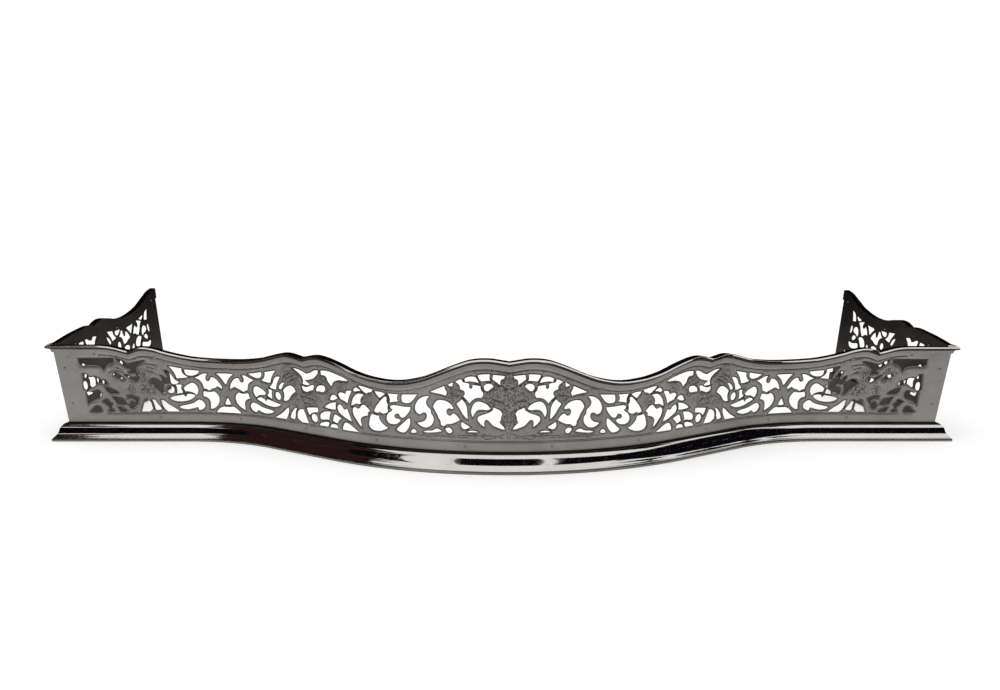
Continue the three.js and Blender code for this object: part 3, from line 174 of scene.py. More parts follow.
inner_scrolls = [
    [(99.5, 95.5, K), (105, 95), (111.5, 92), (116.5, 86.5), (119, 79.5), (117.5, 73.5),
        (112.5, 71), (109.5, 73.3), (105.5, 73.3), (103.7, 70), (104.7, 65.5), (108, 62),
        (117, 59.7, K), (114, 56.7), (108.5, 54), (103, 54.5), (97.5, 58.5), (94.8, 64),
        (95.5, 69.5), (98, 73.5), (98.3, 78), (102, 82), (104, 86.5), (103, 91)],
    [(95, 81.5, K), (93, 86.5), (89, 90.5), (84, 91.2), (78, 90), (72.5, 86.5), (68.7, 81, K),
        (71.5, 80), (75.5, 80.8), (78, 77.5), (77, 73), (73.5, 71.2), (69.7, 74.5, K), (66, 72.5),
        (63, 69), (61.5, 66, K), (66.5, 63), (73, 60.3), (78, 59.8), (81.5, 57, K), (85.5, 58.5),
        (86, 63), (88.5, 67.5), (89.8, 71.5), (92, 75.5)],
    [(109.8, 48, K), (104, 49.8), (97.5, 50.5), (92, 53), (89, 53), (84.3, 50.3, K), (90, 48.8),
        (97, 47.8), (104, 47.2)],
    [(126.3, 45.8, K), (125, 48.5), (122, 51), (119.7, 50), (118, 47, K), (121, 45.7)],
    [(126.5, 65, K), (126.3, 59), (128, 53.5), (131, 48.8), (135, 45.3), (139.5, 45), (144, 46.5),
        (145.8, 48.7, K), (140.5, 53.7), (134.5, 59), (129.8, 63.2)],
    [(124.8, 79.7, K), (132, 79.6), (140, 80.2), (147, 80.7), (152, 79.5, K), (153, 76.5),
        (150.5, 74.5), (152, 71.7), (156, 69.5), (158.7, 65), (159.3, 60.5), (157, 56.5), (153, 55),
        (147, 55.3), (142, 58), (139.3, 61, K), (142, 63), (145.8, 63.3), (147.7, 66), (146, 69),
        (142.5, 69.7), (140.3, 66.5), (138.3, 64.5, K), (133.5, 66.3), (129, 71), (126, 75.5)],
    [(135.7, 95.6, K), (126, 96.2), (115.5, 97, K), (119, 92), (123.5, 87), (128, 84.8),
        (133, 84.7), (136.3, 86, K), (136.7, 91)],
    [(156, 95.3, K), (148, 95.4), (140.3, 95.4, K), (142.7, 91), (141, 86, K), (147, 85.3),
        (153.5, 83.8, K), (153, 88), (154, 92)],
    [(174.5, 96.8, K), (166, 96.8), (159.3, 94.7, K), (163, 91.7), (168, 88.5, K), (171.5, 92.5)],
    [(159.5, 91), (157, 89.5), (157.8, 86), (155.8, 81, K), (156.7, 76), (156.5, 71.5), (160, 69),
        (164.5, 68), (169, 70, K), (173, 68.3), (177, 70, K), (174.5, 75), (170, 81), (165, 86.5)],
    [(180.3, 66.5, K), (175, 65), (169.8, 64.7, K), (169, 60), (166, 55.5), (162, 52),
        (157.5, 49.7, K), (162.5, 46.8), (169, 44.3), (176, 43.8), (182, 45), (186, 50), (185, 56),
        (183.5, 61.5)],
    [(198.8, 102.5, K), (190.5, 101.8), (176.5, 98.7, K), (180, 95.3), (183.5, 94.7),
        (186.5, 92.5, K), (190.5, 94.5), (195, 98.3)],
    [(207, 94.4, K), (205.5, 97.5), (201, 99.3), (194.5, 95.3, K), (200, 95), (204.5, 93.8)],
    [(190.5, 90.7, K), (195.5, 91.7), (200.5, 91), (205.5, 87.5), (209.5, 82), (212, 73.5, K),
        (207.5, 76), (203, 77.7), (199, 77.2), (195.7, 78.7, K), (196.3, 83), (194.5, 87)],
    [(210, 69.5, K), (207.5, 72), (204, 72.5), (201.5, 71), (198.5, 72, K), (195.5, 75.5),
        (191.5, 77.2), (187.5, 75), (182.7, 69.8, K), (186, 67.2), (186, 63.3, K), (190, 62.5),
        (195, 60.7), (198, 56.5), (197.5, 51.5), (196.3, 45.8, K), (201, 49), (205, 54.5),
        (208.8, 60), (210.3, 65)],
]
inner_beast = [
    [(229.7, 38.5, K), (228, 44.5), (224.5, 48.7), (220, 49.2), (214.5, 47), (208.5, 43),
        (201.5, 38.5, K)],
    [(230.5, 73.8, K), (234.5, 71), (235.7, 66.5), (233.5, 62), (227.5, 58), (220, 54),
        (212.3, 51.8, K), (214.5, 58), (217, 65), (218.7, 69.5, K), (222.5, 67.3), (225.3, 69.3, K),
        (227, 71.7)],
    [(232.5, 86, K), (230.5, 89), (226, 90.3), (220, 89, K), (218, 92.8), (214, 94), (209, 94, K),
        (211.5, 90), (214.5, 84.5), (216.5, 79), (218.3, 75, K), (221, 78), (225.5, 79.8),
        (229.3, 81, K)],
    [(247.5, 78, K), (245.5, 82.5), (241.5, 85.3), (237.5, 85.2), (233, 82, K), (238.5, 79.3),
        (243, 77.6)],
    [(258, 66.3, K), (253, 70.3), (247, 73), (241.5, 74.8), (236.3, 75.2, K), (237.8, 71),
        (237.8, 66.3, K), (242, 65), (250, 65)],
    [(242, 58, K), (238.5, 58.3), (229.7, 54.2, K), (234, 51), (238, 46.7), (242, 47), (246, 49, K),
        (244, 54)],
    [(251.7, 39.2, K), (249.5, 42.5), (245.5, 44.3), (240, 44.3), (237.5, 42.5), (237, 39.2, K)],
    [(271.3, 39.2, K), (267.5, 42.7), (261, 45), (256.5, 46.2), (252, 45.5, K), (253, 42),
        (255.8, 39.2, K)],
    [(267.7, 48.3, K), (267.5, 54.5), (263, 58), (256.5, 60.5), (247.5, 61.5, K), (249.7, 56),
        (251.7, 48.7, K), (257, 49.3), (262, 48.3)],
    [(260, 116.3, K), (250, 117.3), (240, 116), (230, 113.6), (220, 110.7), (213, 107.2, K),
        (221, 106.6), (229, 106.6), (235.5, 104.8), (240, 100.8), (242.5, 95.5, K), (246, 99.5),
        (249, 103), (250, 107.3, K), (253, 110.3, K), (260, 110.8, K)],
    [(271.3, 87.2, K), (270, 91.5), (265.5, 95), (259, 96.3), (254.7, 95.5), (253.8, 92),
        (256, 88.3), (261, 87), (266.5, 87.3)],
    [(310.5, 115.3, K), (303, 115.2), (295, 113.3), (285, 109.8, K), (279, 111.7), (272.5, 115),
        (267.5, 116.5), (263.5, 115.7, K), (266.5, 110.5), (273, 105), (280.5, 102.5),
        (289.5, 100.7, K), (285, 98), (281, 96, K), (284.5, 94), (295, 94.7, K), (293.5, 99.5),
        (295.5, 104.7), (300, 109), (305.5, 112.3)],
    [(296, 93.3, K), (291, 91.2), (286.5, 91.3), (281.5, 93.3), (274, 95.5, K), (274, 91.5),
        (276.3, 88, K), (282, 86.7), (287.5, 84.5), (292.5, 84.7), (296.5, 88, K)],
    [(291.7, 61.5, K), (281, 63), (270.3, 64.2, K), (270.2, 60), (271.3, 56.8, K), (277, 57),
        (283, 54.8), (287, 50.8, K), (289.8, 55.5)],
    [(297, 58.8, K), (294, 51.5), (289.3, 39.3, K), (303.5, 39.3, K), (310.3, 43.8, K), (310.3, 49),
        (308.5, 54), (304, 57.5)],
    [(308.7, 58.7, K), (311.8, 54), (312.8, 48), (315, 43, K), (319, 42), (324.3, 43.5, K),
        (321.5, 49.5), (317.5, 54.5), (313, 58.3)],
    [(324.7, 58, K), (325.5, 51), (328.5, 45), (332, 40, K), (354.5, 40, K), (346, 44), (338, 49),
        (330, 55.3)],
    [(308.7, 82.3, K), (310.5, 86.5), (314.5, 89.5), (320, 89.5), (327, 86.5), (333.7, 81, K),
        (332, 75), (333, 70), (334.7, 67, K), (328, 67.3), (322.5, 70.5), (318.5, 75.5),
        (313.5, 79.5)],
    [(328, 93.2, K), (331.5, 89.5), (334.5, 84.5), (335.5, 81.8, K), (341.7, 83.2, K), (339, 88),
        (334.5, 91.5)],
    [(336, 100.3, K), (340, 95), (343.5, 89.5), (345.5, 82, K), (351.5, 81.3), (359, 83.3, K),
        (354.5, 87.3), (351.8, 90.5), (349.5, 95), (344.5, 99.3)],
    [(366, 104.2, K), (357, 106), (343.5, 108.7, K), (348.5, 103.5), (352.5, 98), (355.3, 90.3, K),
        (362, 89.8), (373, 91.8, K), (368.5, 95.5), (366.3, 99.5)],
    [(362.8, 80, K), (358.5, 80.2), (354.3, 79.8, K), (355.2, 73.5), (355, 66.7, K), (360, 67.7),
        (365.3, 71, K), (361.8, 74.8)],
]
middle_scrolls = [
    [(390.5, 58, K), (395, 55.8), (397, 52), (395.5, 47.5), (391.5, 44.5), (387, 44, K),
        (383.5, 47.5, K), (378.5, 45), (370.5, 43.7), (362, 45), (354, 48.3, K), (361, 50.2),
        (369, 51.3), (377, 53), (384, 56)],
    [(384.5, 63.5, K), (380, 66.2), (375.5, 66.5), (370, 64.7, K), (368, 62, K), (366, 65.2, K),
        (360, 64.5), (353, 62.7), (346, 61.3), (339, 60.5, K), (345, 57.3), (353, 55.3),
        (361, 55.2), (369, 56.7), (377, 60)],
    [(389.8, 75), (387.5, 80.5), (382, 82.5), (376, 80.3), (370.5, 77.7), (366.3, 73.5, K),
        (370.5, 70.3, K), (376, 70.5), (380.5, 69.3), (385, 66, K), (388.5, 69.5)],
    [(396, 99.8, K), (384, 101.5), (372, 104, K), (371.5, 99.5), (375, 95.7), (381.5, 94.5),
        (388, 95.8)],
    [(413.5, 71, K), (408, 69.6), (402.5, 70.3), (398.5, 71, K), (397.5, 67), (395.5, 63, K),
        (400.5, 62.3), (404.5, 59), (406, 54), (405.3, 45, K), (410.5, 47.2), (415.5, 50.3),
        (419.5, 55), (421.3, 61), (420, 66), (417, 69.5)],
    [(428.7, 75.3, K), (427.5, 81), (423.5, 87.5), (418, 91.5), (412.5, 92), (410.7, 88), (408, 86),
        (405, 87.8), (404.8, 91.5), (407, 96.2, K), (401.5, 96.7), (395.5, 94.2), (386.5, 90.8, K),
        (393, 88), (396.8, 84.5), (398.2, 80), (399.3, 75.3, K), (403.5, 74.3), (407, 72.3),
        (411.5, 74.5), (417, 77), (421, 79, K), (425, 77.3)],
    [(453, 39.5, K), (449, 44.5), (443, 48), (437, 48.5), (431, 48.5), (425, 49), (418.5, 45),
        (413, 39.5, K)],
    [(433.8, 62.5, K), (431, 58), (428.8, 53, K), (433.5, 51.5), (438.7, 52.5, K), (436.3, 58)],
    [(449, 97.5, K), (435, 98), (421, 97.5, K), (426, 94), (430, 89.5), (433, 84), (435, 81.3, K),
        (437.5, 84.5), (441.5, 90.5), (445, 94.5)],
    [(469, 71.2, K), (464.5, 70.2), (459.5, 70), (453.5, 71, K), (449, 67), (446.3, 61),
        (447.5, 54.5), (451.5, 49), (456.5, 45.5), (461.5, 44.8, K), (461, 50), (461.3, 56),
        (464.5, 61), (470.3, 62.8, K), (470.8, 67)],
    [(482, 90.5, K), (476, 93), (470, 96.2), (465.5, 97.2), (462.5, 96.5, K), (465, 92),
        (464.8, 87.5), (461.5, 85.8), (459, 88), (457.8, 91), (454.5, 92), (449, 89), (444.5, 83.5),
        (441, 78), (441.5, 75, K), (448.8, 78.7, K), (452, 76.2), (457, 74.8), (461.5, 72),
        (465, 74), (469, 74.7, K), (470.5, 80.5), (473.5, 86), (477.5, 89)],
    [(495.5, 102.8, K), (485, 102), (474, 101, K), (476.5, 97), (482, 94.5), (488, 93.7),
        (494, 96)],
    [(507, 47.5, K), (500, 49.5), (492, 51.2), (485, 53.5), (480, 57), (476.5, 58), (471.5, 55),
        (469, 50), (471, 45.5), (478.5, 42.2, K), (481, 47, K), (487, 45), (494, 43.5), (501, 44),
        (505.5, 45.5)],
    [(498.5, 74.5, K), (496, 78), (491, 81), (486, 83.2), (481, 81), (477.8, 75.5), (478, 69),
        (481.5, 64.8, K), (484.5, 67.8), (489.5, 69.8), (497, 70.5, K)],
    [(519.5, 60.5, K), (513, 63), (505, 64.5), (499, 65.5, K), (496.5, 62, K), (494.5, 66, K),
        (488, 66.5), (482.5, 64.5, K), (486, 60.5), (493, 57), (501, 55.5), (509, 55.5),
        (516, 57.5)],
    [(509.5, 80.5, K), (505, 80.5), (500.5, 80, K), (502, 75), (500, 70), (500.5, 68, K),
        (505, 67.5), (509, 66.5, K), (508, 73)],
]
outer_beast = [
    [(547, 82.5, K), (544.5, 87.5), (540, 89.5), (533, 87.5), (525.5, 82, K), (527, 76),
        (526.5, 71), (525, 67, K), (530.5, 69), (535, 75), (540, 80.5)],
    [(529.5, 94, K), (525, 92), (520.5, 88), (518.5, 84, K), (521.5, 82.5), (525, 85.5)],
    [(524, 101, K), (519.5, 100.5), (514.5, 95), (510, 88), (504.5, 84.5, K), (508.5, 81.5),
        (514.5, 81.5), (517, 87), (519.5, 93.5)],
    [(518, 108, K), (508, 106), (499.5, 104.5, K), (499, 99), (496, 95), (490.5, 91.5, K),
        (498, 90.5), (507.5, 90, K), (509, 95), (512, 101), (515, 105)],
    [(532, 57.5, K), (528.5, 57), (522, 51.5), (513, 45.5), (506.5, 40, K), (523.5, 40, K),
        (528, 44), (531, 50)],
    [(545.5, 58, K), (541, 57.5), (537.5, 52), (533.5, 47), (532, 44, K), (536.5, 42.5), (541, 43),
        (542.5, 49), (544, 54.5)],
    [(562, 40, K), (559, 47), (557, 54), (555, 58), (551, 58), (547, 54), (545.5, 48),
        (545, 44.5, K), (549.5, 40, K)],
    [(580, 64, K), (573, 64), (567, 62), (563, 60.5, K), (564.5, 57), (566, 54, K), (568.5, 58),
        (573, 60.5), (580, 60.5, K)],
    [(589.5, 118, K), (585, 117), (580, 114.5), (575, 110.5, K), (568, 112), (560, 114),
        (550, 115.5, K), (556, 111.5), (561, 108), (564, 103), (563, 97, K), (569, 98), (575, 98.5),
        (572, 103), (577, 105.5), (581, 109), (586, 113)],
    [(581, 95.5, K), (575, 93.5), (569, 90.5), (565, 91.5), (563, 94, K), (560.5, 92), (562, 87),
        (566, 85, K), (571, 88.5), (576, 91.5)],
    [(597, 94.5, K), (595, 97.5), (592, 97), (588, 95), (584, 91.5), (580, 88, K), (586, 89),
        (592, 91.5)],
    [(609.5, 76.5, K), (603, 75), (596, 71.5), (591.5, 68, K), (598, 68), (605, 68.5)],
    [(601, 62, K), (594, 61), (587, 59.5), (583.5, 56), (582, 51.5, K), (589, 51.5), (595, 53),
        (597.5, 58)],
    [(594.5, 46.5, K), (589, 46), (584, 43.5), (580.5, 40, K), (591.5, 40, K), (592.5, 43)],
    [(609, 40, K), (607.5, 44), (604, 45), (600.5, 42.5), (599.5, 40, K)],
    [(616.5, 55, K), (611, 58), (607.5, 58, K), (605, 54), (602, 51.5), (606, 48), (610, 50),
        (612, 53)],
    [(635, 40, K), (631, 44.5), (626, 48), (620.5, 47.5), (618, 44), (618.5, 40, K)],
    [(638, 68, K), (634, 70), (630, 69), (625, 71), (619, 71.5), (616.5, 67), (618, 62),
        (624, 59.5), (630, 56.5), (637, 50, K), (637.5, 60)],
    [(640, 96, K), (634, 95.5), (631, 91.5), (624, 92), (618, 90), (613, 86.5), (609.5, 87),
        (605, 81, K), (612, 81.5), (618, 83), (624, 79), (631, 75), (637, 71.5, K), (640.5, 76),
        (640.5, 86)],
    [(643.5, 118.5, K), (594.5, 118.5, K), (595, 113.5), (600, 112), (605, 108), (609, 101, K),
        (613, 107), (620, 109), (630, 109.5), (635, 109), (639, 108.5), (643, 113, K)],
]
scroll_eyes = [
    (573.3, 50.3, 4.9), (517, 73, 5.5), (343.5, 72.3, 5.7), (278.3, 48.7, 5.8)
]
drawn_corner = 667.3
span = corner_arc / drawn_corner


def smooth(points, step, closed=True):
    """A line through given points, round at each one but those marked sharp."""
    spots = [Vector(p[:2]) for p in points]
    count = len(spots)
    sharp = [len(p) > 2 for p in points]
    if not closed:
        sharp[0] = sharp[-1] = True

    def heading(i):
        if sharp[i % count]:
            return None
        return (spots[(i + 1) % count] - spots[i - 1]).normalized()

    line = []
    for i in range(count if closed else count - 1):
        start, stop = spots[i], spots[(i + 1) % count]
        chord = stop - start
        straight = chord.normalized()
        leave, arrive = heading(i), heading(i + 1)
        if leave is None and arrive is None:
            leave = arrive = straight
        elif leave is None:
            leave = (2 * straight - arrive).normalized()
        elif arrive is None:
            arrive = (2 * straight - leave).normalized()
        steps = max(2, math.ceil(chord.length / step))
        for k in range(steps):
            t = k / steps
            line.append(
                (2 * t**3 - 3 * t**2 + 1) * start + (t**3 - 2 * t**2 + t) * chord.length * leave
                + (3 * t**2 - 2 * t**3) * stop + (t**3 - t**2) * chord.length * arrive
            )
    return line if closed else [*line, spots[-1]]


def finder(spots):
    """A search tree over places on a sheet."""
    tree = KDTree(len(spots))
    for i, spot in enumerate(spots):
        tree.insert((spot.x, spot.y, 0), i)
    tree.balance()
    return tree


def area(loop):
    """Area inside a closed line, negative where the line runs clockwise."""
    return sum(a.cross(b) for a, b in zip(loop, [*loop[1:], loop[0]])) / 2


def inset(loop, width):
    """A closed line moved to its left."""
    moved = []
    for i, spot in enumerate(loop):
        before = (spot - loop[i - 1]).normalized()
        after = (loop[(i + 1) % len(loop)] - spot).normalized()
        left = Vector((-before.y, before.x)) + Vector((-after.y, after.x))
        moved.append(spot + left * width / max(1 + before.dot(after), 0.5))
    return moved


graver_width = 1.1                # drawn wider than the real 0.4 mm line, so that it shows
graver_depth = 0.22
opening_edge_shade = 0.85                  # painted shade along the edge of an opening: how far the sheet there is darkened towards the cut colour, from 0 to 1
beside_gap = 1.5                  # between an opening and the line that follows it
crowding = 1.75 * beside_gap      # a line needs this much room from the next opening
clearance = 0.8 * beside_gap      # and this much from its own


def furrow(line):
    """The three lines of a cut made by a graver: its middle, sunk, and its two edges."""
    edges = []
    for side in (-1, 1):
        moved = []
        for before, spot, after in zip(line, line[1:], line[2:]):
            along = (after - before).normalized()
            moved.append(spot + side * graver_width / 2 * Vector((-along.y, along.x)))
        edges.append(([line[0], *moved, line[-1]], 0.0))
    return [(line, graver_depth), *edges]


def triangulated(loops, strokes):
    """Triangles of the sheet inside loops[0] and outside the others, with extra points for the
    bend. Gives the points, the triangles, the place of each loop's points, and their depths."""
    points = []
    edges = []
    rings = []
    for loop in loops:
        rings.append(list(range(len(points), len(points) + len(loop))))
        points += loop
    tree = finder(points)
    depths = {}
    for stroke in strokes:
        for line, depth in furrow(stroke):
            first = len(points)
            edges += [(first + k - 1, first + k) for k in range(1, len(line))]
            if depth:
                depths.update({first + k: depth for k in range(1, len(line) - 1)})
            points = points + line
    low = [min(p[k] for p in loops[0]) for k in (0, 1)]
    high = [max(p[k] for p in loops[0]) for k in (0, 1)]
    columns = round((high[0] - low[0]) / grid_step)
    rows = round((high[1] - low[1]) / grid_step)
    grid = []
    for i in range(1, columns):
        for j in range(1, rows):
            x = low[0] + (high[0] - low[0]) * (i + 0.5 * (j % 2)) / columns
            y = low[1] + (high[1] - low[1]) * j / rows
            if tree.find((x, y, 0))[2] > grid_clearance:
                grid.append(Vector((x, y)))
    counter_clockwise = [rings[0], *(ring[::-1] for ring in rings[1:])]
    cut = delaunay_2d_cdt(points + grid, edges, counter_clockwise, 1, 1e-5, True)
    spots, _, faces, sources, _, insides = cut
    place = {source: i for i, found in enumerate(sources) for source in found}
    kept = [face for face, inside in zip(faces, insides) if inside == [0]]
    return spots, kept, [[place[i] for i in ring] for ring in rings], {
        place[i]: depth for i, depth in depths.items()
    }


def pick(piece):
    """Puts a new piece into the scene and selects it alone."""
    bpy.context.collection.objects.link(piece)
    bpy.ops.object.select_all(action="DESELECT")
    piece.select_set(True)
    bpy.context.view_layer.objects.active = piece


def closed_piece(name, points, faces, finishes=(), marks=None):
    """A mesh object at the origin, facing outwards, round across shallow edges. finishes gives
    the material of each face, and marks the values that a material reads at each point."""
    used = sorted({i for face in faces for i in face})
    renumbered = {old: new for new, old in enumerate(used)}
    mesh = bpy.data.meshes.new(name)
    mesh.from_pydata([points[i] for i in used], [], [[renumbered[i] for i in f] for f in faces])
    for face, finish in zip(mesh.polygons, finishes):
        face.material_index = finish
    for title, values in (marks or {}).items():
        mark = mesh.attributes.new(title, "FLOAT", "POINT")
        mark.data.foreach_set("value", [values[i] for i in used])
    work = bmesh.new()
    work.from_mesh(mesh)
    bmesh.ops.recalc_face_normals(work, faces=work.faces)
    work.to_mesh(mesh)
    work.free()
    piece = bpy.data.objects.new(name, mesh)
    pick(piece)
    bpy.ops.object.shade_smooth_by_angle(angle=shallow_edge)
    return piece


def pierced_sheet(name, wall, crest, openings, strokes, worked):
    """The plate of a wall: its two faces, and the filed edges of its outline and openings.
    worked says how much of the engraver's texture there is at a place."""
    top = [Vector((s, z - rim_web)) for s, z in crest]
    stop = wall.edge(1, leaning(top[-1].y))
    start = wall.edge(0, leaning(top[0].y))
    foot_start, foot_stop = wall.edge(0, 0), wall.edge(1, 0)
    steps = round((foot_stop - foot_start) / grid_step)
    foot = [
        Vector((foot_start + (foot_stop - foot_start) * i / steps, base_height))
        for i in range(steps + 1)
    ]
    inner = [p for p in top if start + 1 < p.x < stop - 1]
    top = [Vector((start, top[0].y)), *inner, Vector((stop, top[-1].y))]
    rises = 12

    def side(which, low, high):
        between = [low + (high - low) * k / rises for k in range(1, rises)]
        return [Vector((wall.edge(which, leaning(z)), z)) for z in between]

    outer = [
        *foot, *side(1, base_height, top[-1].y), *reversed(top), *side(0, top[0].y, base_height),
    ]
    skews = [0.0] * len(outer)
    for i, spot in enumerate(outer):
        for which in (0, 1):
            if abs(spot.x - wall.edge(which, leaning(spot.y))) < 1e-3:
                skews[i] = wall.skews[which]
    loops = [outer]
    for opening in openings:
        loops.append(opening if area(opening) < 0 else opening[::-1])
    inner_loops = [inset(loop, arris) for loop in loops]
    points = []
    faces = []
    finishes = []
    marks = {"worked": [], "graved": []}

    def put(spots, off, bends=None):
        first = len(points)
        for k, spot in enumerate(spots):
            depth = off if not isinstance(off, list) else off[k]
            s = spot.x + (bends[k] * depth if bends else 0)
            points.append(wall.point(s, leaning(spot.y) + depth, spot.y))
            marks["worked"].append(worked(spot.x, spot.y))
            marks["graved"].append(1.0 if -graver_depth - 1e-6 < depth < -1e-6 else 0.0)
        return first

    faces_of_loops = []
    for finish, off, cuts in ((0, 0.0, strokes), (1, -plate_thickness, [])):
        spots, kept, rings, depths = triangulated(inner_loops, cuts)
        bends = [0.0] * len(spots)
        for i, skew in zip(rings[0], skews):
            bends[i] = skew
        sinks = [off - depths.get(i, 0.0) for i in range(len(spots))]
        first = put(spots, sinks, bends)
        faces += [[first + i for i in face] for face in kept]
        finishes += [finish] * len(kept)
        faces_of_loops.append([[first + i for i in ring] for ring in rings])
    # Painted shade: the face of the sheet is darkened along the edge of every opening.
    for ring in faces_of_loops[0][1:]:
        for i in ring:
            marks["graved"][i] = opening_edge_shade
    for n, loop in enumerate(loops):
        bends = skews if n == 0 else [0.0] * len(loop)
        size = len(loop)
        near = put(loop, -arris, bends)
        far = put(loop, arris - plate_thickness, bends)
        rows = [
            faces_of_loops[0][n], [near + i for i in range(size)],
            [far + i for i in range(size)], faces_of_loops[1][n],
        ]
        for finish, a, b in zip((0, 2, 1), rows, rows[1:]):
            for i in range(size):
                j = (i + 1) % size
                faces.append([a[i], b[i], b[j], a[j]])
                finishes.append(finish)
    return closed_piece(name, points, faces, finishes, marks)


def mirrored(outline):
    """The same outline on the other half of the front."""
    return [(-p[0], *p[1:]) for p in reversed(outline)]


def ring(s, z, radius, count=24):
    """A round drilled opening."""
    turns = [2 * math.pi * k / count for k in range(count)]
    return [Vector((s + radius * math.cos(t), z + radius * math.sin(t))) for t in turns]


drawn_half = [*urn_and_flowers, *inner_scrolls, *inner_beast, *middle_scrolls, *outer_beast]
half = [[(p[0] * span, *p[1:]) for p in outline] for outline in drawn_half]
crest_half = [(p[0] * span, *p[1:]) for p in front_crest]
crest_step = 4.0
front_top = smooth([*mirrored(crest_half[1:]), *crest_half], crest_step, closed=False)
front_openings = [smooth(outline, outline_step) for outline in half]
front_openings += [smooth(mirrored(outline), outline_step) for outline in half]
front_openings += [ring(k * s * span, z, r) for s, z, r in scroll_eyes for k in (-1, 1)]


def beside(openings):
    """Lines that follow the openings a little way in, left out where the metal is narrow."""
    tree = finder([spot for loop in openings for spot in loop])
    owners = [n for n, loop in enumerate(openings) for _ in loop]
    lines = []
    for n, loop in enumerate(openings):
        edge = loop if area(loop) < 0 else loop[::-1]
        run = []
        for spot in [*(followed := inset(edge, beside_gap)), followed[0]]:
            place = (spot.x, spot.y, 0)
            crowded = any(owners[i] != n for _, i, _ in tree.find_range(place, crowding))
            if crowded or tree.find(place)[2] < clearance:
                lines.append(run)
                run = []
            else:
                run.append(spot)
        lines.append(run)
    return [line for line in lines if len(line) > 3]


def linear(colour):
    """A hex sRGB colour as the linear one that a shader takes."""
    parts = [int(colour[i:i + 2], 16) / 255 for i in (1, 3, 5)]
    return (*(c / 12.92 if c < 0.04045 else ((c + 0.055) / 1.055) ** 2.4 for c in parts), 1.0)


def add_node(tree, kind, inputs=None, **settings):
    """A shader node with its settings, its values, and its links from other nodes' sockets."""
    made = tree.nodes.new(kind)
    for name, value in settings.items():
        setattr(made, name, value)
    for socket, value in (inputs or {}).items():
        if isinstance(value, bpy.types.NodeSocket):
            tree.links.new(value, made.inputs[socket])
        else:
            made.inputs[socket].default_value = value
    return made


def new_material(name):
    """A material with its node tree and its shader."""
    material = bpy.data.materials.new(name)
    material.use_nodes = True
    tree = material.node_tree
    return material, tree, tree.nodes["Principled BSDF"]


def dress(piece, materials, slot, *nodes):
    """Gives a finished piece its materials, and hides the CAD nodes that it stands for; its slot is
    not used.
    """
    finishes = [face.material_index for face in piece.data.polygons]
    piece.data.materials.clear()
    for material in materials:
        piece.data.materials.append(material)
    piece.data.polygons.foreach_set("material_index", finishes)
    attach(piece, "root")
    if nodes:
        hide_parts(*nodes)


# Mild steel sheet, filed and rubbed with emery along its length: a soft grey satin with fine
# level scratches, blotches of old tarnish and a few rust pits. Where it is engraved, smoke has
# stayed in the cuts and in the fine stippling between them. The same dark colour along the
# edges of the openings is painted shade.
blotch_scale = 16.0               # in a metre: a blotch of tarnish every 60 mm
stipple_scale = 480.0             # a punch mark every 2 mm, coarser than the real ones
pit_scale = 310.0                 # rust pits about 3 mm apart where they are thickest
emery_scale = (30.0, 30.0, 1400.0)    # level scratches, 30 mm long and drawn 0.7 mm apart


